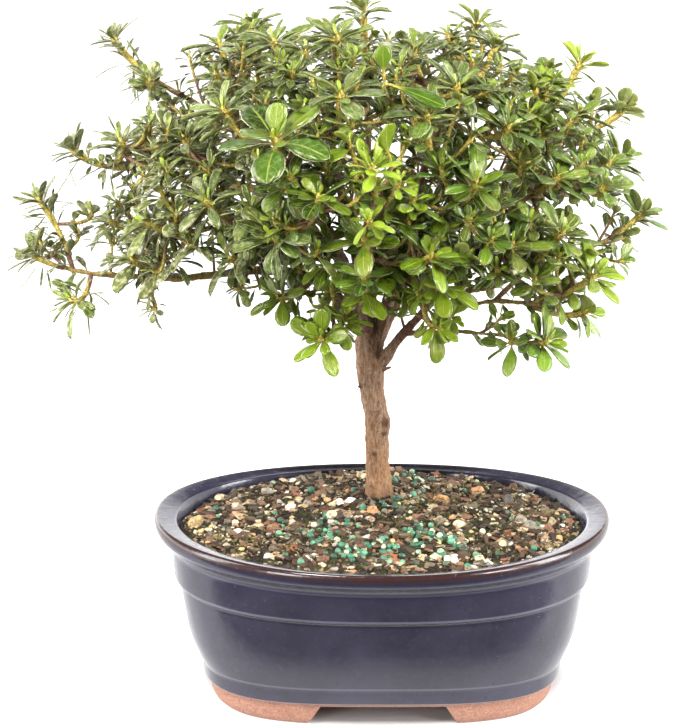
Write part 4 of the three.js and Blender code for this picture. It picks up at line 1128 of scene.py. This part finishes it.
class Spray:
    """Gathers leaves and stems and makes them one piece."""

    def __init__(self, seed, plain=False):
        self.plain = plain
        self.vertices, self.faces, self.sides, self.tones, self.uvs = [], [], [], [], []
        self.count = 0
        self.draw = np.random.default_rng(seed)

    def add(self, vertices, faces, sides, tones, uvs):
        self.vertices.append(vertices)
        self.faces += [[index + self.count for index in face] for face in faces]
        self.sides += sides
        self.tones.append(tones)
        self.uvs.append(uvs)
        self.count += len(vertices)

    def add_leaf(self, stem, back, turn, leaf):
        """A leaf on a stem, at a distance back from its tip and a turn round it. It is
        raised from the outward way to the stem's own, and its face seeks the light."""
        share = max(0.02, 1 - back / stem.span)
        along, u, v = stem.frame(share)
        outward = u * math.cos(turn) + v * math.sin(turn)
        foot = stem.at(share) + outward * STEM_RADIUS
        angle = math.radians(leaf["raise"])
        way = unit(outward * math.cos(angle) + along * math.sin(angle) + UP * LEAF_LIFT)
        sought = along * (1 - leaf["light"]) + UP * leaf["light"]
        face = sought - way * (sought @ way)
        if np.linalg.norm(face) < 0.15:
            face = along - way * (along @ way)
        self.lay_leaf(foot, way, unit(face), leaf)

    def lay_leaf(self, foot, way, face, leaf):
        """A leaf by its foot, the way it points and the way its upper side faces."""
        draw = self.draw
        across = np.cross(face, way)
        roll = math.radians(draw.normal(0, 14))
        face, across = (face * math.cos(roll) + across * math.sin(roll),
                        across * math.cos(roll) - face * math.sin(roll))
        plain = self.plain or bool(leaf["length"] < SMALL_LEAF)
        points, uvs, faces, sides = LEAF_SHAPES[bool(leaf["lance"]), plain]
        arch = LEAF_ARCH + draw.normal(leaf["droop"], 0.09)
        share, sideways, height = points.T[:, :, None]
        length, width = leaf["length"], leaf["width"]
        normal = face + 2 * arch * share * way
        normal = normal / np.linalg.norm(normal, axis=1, keepdims=True)
        bend = draw.normal(0, 0.07) * share * share * length
        wave = draw.uniform(0, 0.35) * np.sin(share * 9 + draw.uniform(0, 6)) * np.abs(sideways)
        places = (foot + way * share * length - face * arch * share * share * length
                  + across * (sideways * width + bend) + normal * (height * width + wave))
        # Painted light and shade: leaves deep in the crown are painted darker, those to the right and low
        # down lighter, and shade darkens the top and some chosen leaves.
        out = np.linalg.norm((foot - CROWN_CENTRE) / CROWN_REACH)
        lit = draw.uniform() * clamp((out - 0.45) / 0.5, 0.05) * (1 - 0.4 * leaf["grey"])
        lit += 0.3 * clamp((foot[0] - 40) / 50) + 0.5 * clamp((195 - foot[2]) / 30)
        lit = min(1.0, lit) * leaf["shade"]
        tones = np.tile([leaf["young"], lit, leaf["grey"], 1.0], (len(places), 1))
        self.add(to_row(places), faces, sides, tones, uvs)

    def add_stem(self, twig, start_radius, end_radius, young_from, sides=7, rings=9, tint=0.0):
        """A tapering stem along a twig, swollen where leaves have stood, with a bud. It
        is young from a share of its length on, or all of one tint."""
        vertices, tones = [], []
        for i in range(rings):
            share = i / (rings - 1)
            _, u, v = twig.frame(share)
            radius = start_radius + (end_radius - start_radius) * share
            radius *= (1.1 if i % 2 else 0.95) + 0.3 * math.exp(-((share - 0.8) / 0.15) ** 2)
            for k in range(sides):
                angle = 2 * math.pi * k / sides
                vertices.append(twig.at(share) + (u * math.cos(angle) + v * math.sin(angle)) * radius)
                young = tint if young_from is None else clamp((share - young_from) / 0.3)
                tones.append((young, share, 0.0, 1.0))
        vertices.append(twig.tip + twig.axis * 2 * end_radius)
        vertices.append(twig.root)
        tones += [tones[-1], tones[0]]
        faces = []
        for i in range(rings - 1):
            for k in range(sides):
                a, b = i * sides + k, i * sides + (k + 1) % sides
                faces.append([a, b, b + sides, a + sides])
        last = (rings - 1) * sides
        for k in range(sides):
            faces.append([last + k, last + (k + 1) % sides, len(vertices) - 2])
            faces.append([(k + 1) % sides, k, len(vertices) - 1])
        self.add(to_row(vertices), faces, [STEM_SIDE] * len(faces), np.array(tones),
                 np.full((len(vertices), 2), 0.5))

    def finish(self, name, materials, nodes=(), slot="foliage"):
        """Makes the piece. The materials are those of the upper side, underside and stem."""
        piece = mesh_object(name, np.concatenate(self.vertices), self.faces, materials,
                            np.concatenate(self.tones), self.sides, np.concatenate(self.uvs))
        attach(piece, "root")
        if nodes:
            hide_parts(*nodes)


# Shoots whose leaves are young and bright in the photograph, and how much.
BRIGHT = {
    "front_3": 0.6, "right_1": 0.3, "right_2": 0.6, "top_1": 0.1, "upper_left_5": 0.1, "front_5": 0.12,
    "low_4": 0.25, "low_3": 0.3, "right_10": 0.3, "right_8": 0.3, "front_8": 0.1,
}

# Shoots that stand out alone from the crown's outline, with few side shoots.
LONE = {
    "left_1", "left_2", "left_3", "left_4", "upper_left_1", "upper_left_2", "right_2", "right_4",
    "right_9", "right_10", "right_11", "low_1", "low_2", "low_5", "back_16", "back_17",
}

# Shoots whose own leaves are shaped apart: shares of the part's leaf length and
# width, and degrees of raise.
SHAPED = {
    "front_1": {"long": 0.95, "wide": 1.25, "lance": 0, "shade": 0.5, "grey": 0.12},
    "front_3": {"long": 0.72, "wide": 0.62, "raise": 24},
} | dict.fromkeys(
    ("right_2", "right_4", "left_1", "left_2", "left_3", "upper_left_1", "upper_left_2"),
    {"long": 0.82, "wide": 1.0, "lance": 0.2, "light": 0.45, "droop": 0.0, "raise": 10},
)

# How many side shoots a shoot bears where it isn't the usual number.
SIDE_SHOOTS = {
    name: count for count, names in (
        (0, ("left_4", "right_9")),
        (2, ("left_1",)),
        (3, ("right_4",)),
        (4, ("low_2", "low_5", "back_16", "back_17", "right_2")),
        (5, ("low_1",)),
        (8, ("front_9", "left_5", "left_6", "left_7", "left_8")),
        (10, ("top_1", "top_2", "top_4", "upper_left_3", "upper_left_5")),
    ) for name in names
}
USUAL_SIDE_SHOOTS = 6
LONE_SIDE_SHOOTS = 1

# Dead ends of twigs that stand off the trunk.
DEAD_STUBS = [((0.5, 12, 139.5), (4.2, 10.5, 141.2)), ((-8, 12, 131), (-10.6, 10, 132.4))]

# Single leaves that stand out in the photograph: the places of foot and tip, the
# width and how young.
SINGLE_LEAVES = [
    ((40.5, -50, 247.5), (28, -53, 247), 11.5, 0.0),
    ((0.5, -82, 254.5), (-3, -86, 267), 11, 0.35),
    ((1.8, -70, 280), (23.6, -73, 272.5), 7.4, 0.0),
    ((-1, -55, 282.5), (-2, -56, 293.5), 7.5, 0.15),
]


def look_of(name, tip):
    """How the leaves of a shoot look: young, grey and how often lance-shaped. The
    crown's left is older and greyer, the grey partly dust and partly painted sheen, as is
    the grey at the top and the right; the top is painted darker as shade; the right and low
    parts are rounder and brighter, the low leaves younger."""
    leftness = clamp((20 - tip[0]) / 120)
    lowness = clamp((205 - tip[2]) / 35) * (tip[0] > -60)
    highness = clamp((tip[2] - 245) / 40)
    narrow = max(leftness * (1 - lowness), 0.8 * highness)
    # Grey: partly dust, partly painted sheen. Shade paints the top darker.
    dusty = clamp((-22 - tip[0]) / 75) * (1 - lowness)
    return {
        "young": BRIGHT.get(name, 0.03) + 0.42 * lowness * clamp((75 - tip[0]) / 40),
        "grey": max(dusty, 0.45 * highness, 0.35 * clamp((tip[0] - 30) / 60)),
        "lance": 0.1 + 0.65 * narrow,
        "light": 0.5 + 0.4 * narrow,
        "droop": 0.04 + 0.22 * narrow,
        "shade": 1 - 0.5 * highness,
    } | SHAPED.get(name, {})


def new_leaf(draw, look, raised, length, width=None, young=0.0, light=1.0):
    """A leaf by its raise in degrees and its length, with the look of its shoot."""
    lance = draw.uniform() < look["lance"]
    slender = draw.uniform(0.22, 0.36) if lance else draw.uniform(0.44, 0.62)
    return {
        "raise": raised, "length": length, "lance": lance,
        "width": min(width or length, slender * length) if lance else width or slender * length,
        "light": look["light"] * light, "droop": look["droop"], "shade": look["shade"],
        "grey": look["grey"] * draw.uniform(0.6, 1),
        "young": clamp(look["young"] + young + draw.normal(0, 0.07)),
    }


def own_whorl(spray, shoot, look, random):
    """The leaves that the part's own solid has, in the same places."""
    twig = shoot["twig"]
    first = (random() + 0.5) * FIFTH

    def own_leaf(raise_by, length, width, young, light):
        raised = raise_by + (random() - 0.5) * 16 + look.get("raise", 0)
        long = shoot["length"] * length * (0.88 + 0.24 * random()) * look.get("long", 0.94)
        wide = shoot["width"] * width * (0.9 + 0.2 * random()) * look.get("wide", 1.08)
        return new_leaf(spray.draw, look, raised, long, wide, young, light)

    if shoot["leafy"]:
        for k in (0, 2):
            spray.add_leaf(twig, SIDE_RING, first + k * FIFTH, own_leaf(14, 0.86, 0.9, 0, 0.8))
    for k in range(5):
        spray.add_leaf(twig, LOWER_RING, first + k * FIFTH, own_leaf(21, 1, 1, 0, 0.8))
    for k in (0, 3):
        spray.add_leaf(twig, UPPER_RING, first + (k + 0.5) * FIFTH, own_leaf(56, 0.7, 0.72, 0.1, 0.3))


def grow_whorl(spray, twig, look, length, lower, upper):
    """Leaves at a shoot's end: a spreading ring, a steeper one and the bud's own."""
    draw = spray.draw
    turn = draw.uniform(0, 2 * math.pi)
    for k in range(lower):
        leaf = new_leaf(draw, look, draw.normal(22, 12), length * draw.uniform(0.65, 1.05))
        back = draw.uniform(2.2, 5.5)
        spray.add_leaf(twig, back, turn + k * 2 * math.pi / lower + draw.normal(0, 0.2), leaf)
    for k in range(upper):
        leaf = new_leaf(draw, look, draw.normal(48, 10), length * draw.uniform(0.5, 0.8), None, 0.12, 0.4)
        spray.add_leaf(twig, draw.uniform(0.6, 1.8), turn + 0.6 + k * 2 * math.pi / upper, leaf)
    for k in range(3):
        size = min(6.5, 0.4 * length)
        raised = draw.uniform(62, 80)
        leaf = new_leaf(draw, look, raised, size * draw.uniform(0.8, 1.2), 0.34 * size, 0.6, 0)
        spray.add_leaf(twig, 0.1, turn + k * 2 * math.pi / 3, leaf)


def dress_stem(spray, stem, look, length, first, last, spacing):
    """Leaves one after another down a stem, turned by the golden angle each time."""
    draw = spray.draw
    turn = draw.uniform(0, 2 * math.pi)
    back = first
    while back < min(last, stem.span * 0.96):
        raised = draw.normal(30, 16)
        leaf = new_leaf(draw, look, raised, length * draw.uniform(0.55, 0.95), None, -0.05, 1.05)
        spray.add_leaf(stem, back, turn, leaf)
        turn += GOLDEN_ANGLE + draw.normal(0, 0.25)
        back += spacing * draw.uniform(0.7, 1.3)


def add_slivers(spray, stem):
    """Thin dry leaves and stipules that stand off the older stems like bent hairs."""
    draw = spray.draw
    for _ in range(10):
        leaf = {
            "raise": draw.normal(10, 25), "length": draw.uniform(9, 17), "width": draw.uniform(0.8, 1.5),
            "lance": True, "light": 0.9, "droop": draw.normal(0.1, 0.3), "grey": 1.0, "young": 0.1,
            "shade": 1.0,
        }
        spray.add_leaf(stem, draw.uniform(1, 0.7 * stem.span), draw.uniform(0, 2 * math.pi), leaf)


def side_tip(draw, twig, lone):
    """A place for a side shoot's tip beside and behind the main tip, more to the
    front or back than out over the outline that the photograph shows."""
    radial = unit(twig.tip - CROWN_CENTRE)
    way = draw.normal(0, 1, 3) * np.array([1.0, 1.0 + 1.5 * (1 - abs(radial[1])), 0.8]) + UP * 0.35
    way = unit(way - radial * (way @ radial))
    spread = draw.uniform(7, 12) if lone else draw.uniform(11, 23)
    back = draw.uniform(10, 24) if lone else draw.uniform(2, 20)
    return twig.tip + way * spread - radial * back, way


def grow_side_shoots(spray, shoot, look, lone, count):
    """Smaller shoots beside the main one, each with its whorl and a leafy stem."""
    draw = spray.draw
    twig = shoot["twig"]
    for _ in range(count):
        tip, way = side_tip(draw, twig, lone)
        if not inside_box(tip + way * 7):
            continue
        root = twig.at(draw.uniform(0.35, 0.75))
        axis = way * 0.5 + twig.axis * 0.7 + UP * 0.55
        side_twig = Twig(root, tip, axis)
        length = min(shoot["length"], 17) * draw.uniform(0.5, 0.8)
        calmer = dict(look, young=look["young"] * draw.uniform(0.2, 0.8))
        grow_whorl(spray, side_twig, calmer, length, 6, 3)
        dress_stem(spray, side_twig, calmer, length * 0.85, 6.5, 20, 3.6)
        spray.add_stem(side_twig, 0.75, 0.8, 0.15, 6, 7)


def inside_box(point):
    """Whether a place stays inside the part's own box."""
    low, high = CAD_BOX
    return bool(np.all(to_row(point) > low) and np.all(to_row(point) < high))


def grow_inner_shoots(materials):
    """Short shoots with small leaves on the outer parts of the limbs, that close the
    inside of the crown."""
    spray = Spray(900, plain=True)
    draw = spray.draw
    for limb in LIMBS:
        for a, b in zip(limb[1:], limb[2:]):
            start, end = np.array(a[:3], float), np.array(b[:3], float)
            outer = clamp((start[2] - 165) / 30, 0.25)
            for _ in range(round(np.linalg.norm(end - start) / 7 * outer)):
                root = start + (end - start) * draw.uniform()
                way = unit(draw.normal(0, 1, 3) + unit(root - CROWN_CENTRE) * 0.7 + UP * 0.9)
                tip = root + way * draw.uniform(12, 26)
                if not inside_box(tip + way * 6) or tip[2] < 172:
                    continue
                look = look_of("inner", tip)
                twig = Twig(root, tip, way + UP * 0.5)
                length = draw.uniform(8, 12.5)
                grow_whorl(spray, twig, look, length, 4, 3)
                dress_stem(spray, twig, look, length, 5.5, 18, 3.4)
                spray.add_stem(twig, 0.65, 0.5, 0.4, 5, 6)
    spray.finish("azalea_inner_shoots", materials)


def dress_limb_ends(materials):
    """Leaves along the thin outer ends of the long limbs."""
    spray = Spray(901)
    for limb in LIMBS:
        a, b = (np.array(point[:3], float) for point in limb[-2:])
        stem = Twig(a, b, b - a)
        dress_stem(spray, stem, look_of("limb", b), 11, 1, stem.span, 3.4)
    spray.finish("azalea_limb_leaves", materials)


def lay_single_leaves(materials):
    """The single large leaves at the front, each on a short stalk, facing the viewer
    and the light, and the trunk's dead stubs."""
    spray = Spray(902)
    for foot, tip, width, young in SINGLE_LEAVES:
        foot, tip = np.array(foot, float), np.array(tip, float)
        way = unit(tip - foot)
        face = np.array([0.1, -0.8, 0.55])
        face = unit(face - way * (face @ way))
        leaf = {
            "length": np.linalg.norm(tip - foot), "width": width, "lance": False, "droop": -0.1,
            "grey": 0.0, "young": young, "shade": 0.6,
        }
        spray.lay_leaf(foot, way, face, leaf)
        spray.add_stem(Twig(foot + [0, 14, -9], foot, way), 0.6, 0.5, 0.0, 5, 5)
    for root, tip in DEAD_STUBS:
        spray.add_stem(Twig(root, tip, np.subtract(tip, root)), 1.1, 0.3, None, 6, 5)
    spray.finish("azalea_single_leaves", materials)


def make_foliage(materials):
    """One piece of leaves and stems for each of the part's shoots or forked pairs,
    and then what only the scene has."""
    sprays = {}
    for index, (name, shoot) in enumerate(make_plan().items()):
        if shoot["node"] not in sprays:
            sprays[shoot["node"]] = Spray(500 + index, plain="back" in name)
        spray = sprays[shoot["node"]]
        twig = shoot["twig"]
        look = look_of(name, twig.tip)
        own_whorl(spray, shoot, look, seeded(TWIG_SEED + index))
        grow_whorl(spray, twig, look, min(shoot["length"], 18) * 0.74, 5, 3)
        dress_stem(spray, twig, look, min(shoot["length"], 16) * 0.72, 6, 40, 2.6)
        spray.add_stem(twig, 1.1, 1.25, 0.1)
        lone = name in LONE
        usual = LONE_SIDE_SHOOTS if lone else USUAL_SIDE_SHOOTS
        grow_side_shoots(spray, shoot, look, lone, SIDE_SHOOTS.get(name, usual))
        if twig.tip[0] < -40:
            add_slivers(spray, twig)
    for node, spray in sprays.items():
        spray.finish(f"azalea_spray_{node}", materials, [f"leafy_shoot_{node}"])
    grow_inner_shoots(materials)
    dress_limb_ends(materials)
    lay_single_leaves(materials)


# Small swellings where branches were cut: place on the trunk, width and height.
KNOTS = [
    ((3.6, 11, 114.5), 2.6, 1.8), ((-9.5, 10, 133), 2.0, 1.1), ((-4, 8.5, 122), 1.6, 0.6),
    ((2.5, 9, 146), 2.4, 0.9), ((-6, 9, 99), 1.8, 0.5), ((3.5, 12, 140), 4, 1.2),
    ((4.6, 12, 130), 5, 0.9), ((-10.5, 12, 138), 3, 0.6),
]

# Bark relief in two layers: the size of its features and how far it moves the skin.
BARK_RELIEF = [(7, 0.9), (2.2, 0.6)]


def raise_knots(mesh):
    """Pushes each knot out of the skin with a dimple in its middle."""
    places = mesh_places(mesh)
    normals = np.empty(len(mesh.vertices) * 3)
    mesh.vertex_normals.foreach_get("vector", normals)
    normals = normals.reshape(-1, 3)
    for place, width, height in KNOTS:
        away = np.linalg.norm(places - to_row(place), axis=1) / (width * MM)
        bulge = np.exp(-0.5 * away ** 2) - 0.5 * np.exp(-0.5 * (away / 0.45) ** 2)
        places += normals * (bulge * height * MM)[:, None]
    set_places(mesh, places)


def limb_youth(places):
    """How young the wood is at each place: by the thickness of the nearest limb."""
    nearest = np.full(len(places), np.inf)
    radius = np.full(len(places), 6.0)
    for limb in LIMBS:
        for a, b in zip(limb, limb[1:]):
            start, end = to_row(a[:3]), to_row(b[:3])
            way = end - start
            share = np.clip((places - start) @ way / (way @ way), 0, 1)
            away = np.linalg.norm(places - start - share[:, None] * way, axis=1)
            thick = a[3] + (b[3] - a[3]) * share
            off_skin = np.abs(away - thick * MM)
            closer = off_skin < nearest
            nearest[closer] = off_skin[closer]
            radius[closer] = thick[closer]
    youth = np.clip((3.9 - radius) / 2.6, 0, 1) * np.clip((places[:, 2] - 0.145) / 0.02, 0, 1)
    away = np.linalg.norm((places - to_row([TRUNK_X, TRUNK_Y, 0]))[:, :2], axis=1)
    return np.minimum(youth, 0.45 + 8 * away)


def make_trunk(material):
    """The trunk and limbs: the frame's own solid, rounded by a fine remesh, then
    given its knots and bark relief."""
    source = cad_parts["trunk"]
    trunk = source.copy()
    trunk.data = source.data.copy()
    trunk.name = "azalea_trunk"
    bpy.context.scene.collection.objects.link(trunk)
    make_active(trunk)
    bpy.ops.object.mode_set(mode="EDIT")
    bpy.ops.mesh.select_all(action="SELECT")
    bpy.ops.mesh.remove_doubles(threshold=1e-6)
    bpy.ops.object.mode_set(mode="OBJECT")
    apply_modifier(trunk, "REMESH", mode="VOXEL", voxel_size=TRUNK_VOXEL * MM, use_smooth_shade=True)
    apply_modifier(trunk, "SMOOTH", factor=0.5, iterations=5)
    raise_knots(trunk.data)
    for size, strength in BARK_RELIEF:
        texture = bpy.data.textures.new(f"bark_{size}", "CLOUDS")
        texture.noise_scale = size * MM
        apply_modifier(trunk, "DISPLACE", texture=texture, strength=strength * MM, mid_level=0.5,
                       texture_coords="LOCAL")
    apply_modifier(trunk, "DECIMATE", ratio=TRUNK_FACES_KEPT)
    youth = limb_youth(mesh_places(trunk.data))
    set_tones(trunk.data, np.stack([youth, youth, youth, np.ones_like(youth)], axis=1))
    trunk.data.materials.clear()
    trunk.data.materials.append(material)
    settle(trunk)
    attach(trunk, "root")
    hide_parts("trunk")


# Camera, light and floor

# The photograph's camera: distance, pitch in degrees and aim round the pot's middle,
# the focal length in the photograph's pixels, and its longer side.
CAMERA_DISTANCE = 1000
CAMERA_PITCH = 15.779
CAMERA_AIM = (-18.857, 0, 146.275)
FOCAL_PIXELS = 2268.78
LONG_SIDE_PIXELS = 725


def make_camera():
    pitch = math.radians(CAMERA_PITCH)
    forward = np.array([0, math.cos(pitch), -math.sin(pitch)])
    data = bpy.data.cameras.new("camera")
    data.sensor_width = 36
    data.lens = FOCAL_PIXELS / LONG_SIDE_PIXELS * data.sensor_width
    data.clip_end = 20
    camera = new_object("camera", data)
    camera.location = to_row(np.array(CAMERA_AIM) - forward * CAMERA_DISTANCE)
    camera.rotation_euler = Vector(forward).to_track_quat("-Z", "Y").to_euler()
    bpy.context.scene.camera = camera


# Soft boxes: name, place, size, power and the height that they aim at, in metres and
# watts.
LIGHTS = [
    ("key_top", (-0.4, -0.85, 1.3), (0.3, 0.3), 26, 0.15),
    ("front_box", (-0.75, -1.2, 0.45), (0.4, 0.4), 9, 0.15),
    ("right_front_box", (0.95, -0.95, 0.7), (0.4, 0.4), 12, 0.15),
    ("left_box", (-1.2, -0.3, 0.75), (0.5, 0.9), 17, 0.2),
    ("right_box", (1.2, -0.3, 0.75), (0.5, 0.9), 26, 0.2),
    ("back_top", (0.3, 1.0, 1.5), (0.8, 0.4), 5, 0.15),
]


def add_light(name, place, size, power, aim_height):
    data = bpy.data.lights.new(name, "AREA")
    data.shape = "RECTANGLE"
    data.size, data.size_y = size
    data.energy = power
    light = new_object(name, data)
    light.location = place
    way = Vector((0, 0, aim_height)) - Vector(place)
    light.rotation_euler = way.to_track_quat("-Z", "Y").to_euler()


def make_world():
    """A dim studio with a pale backdrop low down behind and at the sides, brightest
    at the left, dark on the camera's side."""
    world = bpy.data.worlds.new("studio")
    bpy.context.scene.world = world
    world.use_nodes = True
    background = world.node_tree.nodes["Background"]
    background.inputs[0].default_value = linear("#FFFFFF")
    add = partial(add_node, world.node_tree)
    x, y, z = add("XYZ", add("WAY"))
    strength = add("MULTIPLY", add("RANGE", z, 0.34, 0.48, 2.6, 0.22), add("RANGE", y, -0.7, 0.1, 0.14, 1))
    strength = add("MULTIPLY", strength, add("RANGE", x, -0.16, 0.08, 1.6, 1))
    join(strength, background, "Strength")


def make_studio():
    deselect_all()
    bpy.ops.mesh.primitive_plane_add(size=14, location=(0, 3, 0))
    floor = bpy.context.object
    floor.name = "studio_floor"
    bpy.ops.object.transform_apply(location=True, rotation=True, scale=True)
    floor.data.materials.append(painted_floor())
    make_world()
    for light in LIGHTS:
        add_light(*light)
    bpy.context.scene.view_settings.view_transform = "Standard"


make_camera()
make_studio()
make_pot(glazed_stoneware())
for node in ("drain_screen_left", "drain_screen_right"):
    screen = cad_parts[node]
    screen.data.materials.clear()
    screen.data.materials.append(moulded_mesh_plastic())
make_soil_bed(damp_peat())
make_soil_cover()
make_trunk(azalea_bark())
make_foliage([leaf_upper(), leaf_underside(), young_stem()])
deselect_all()
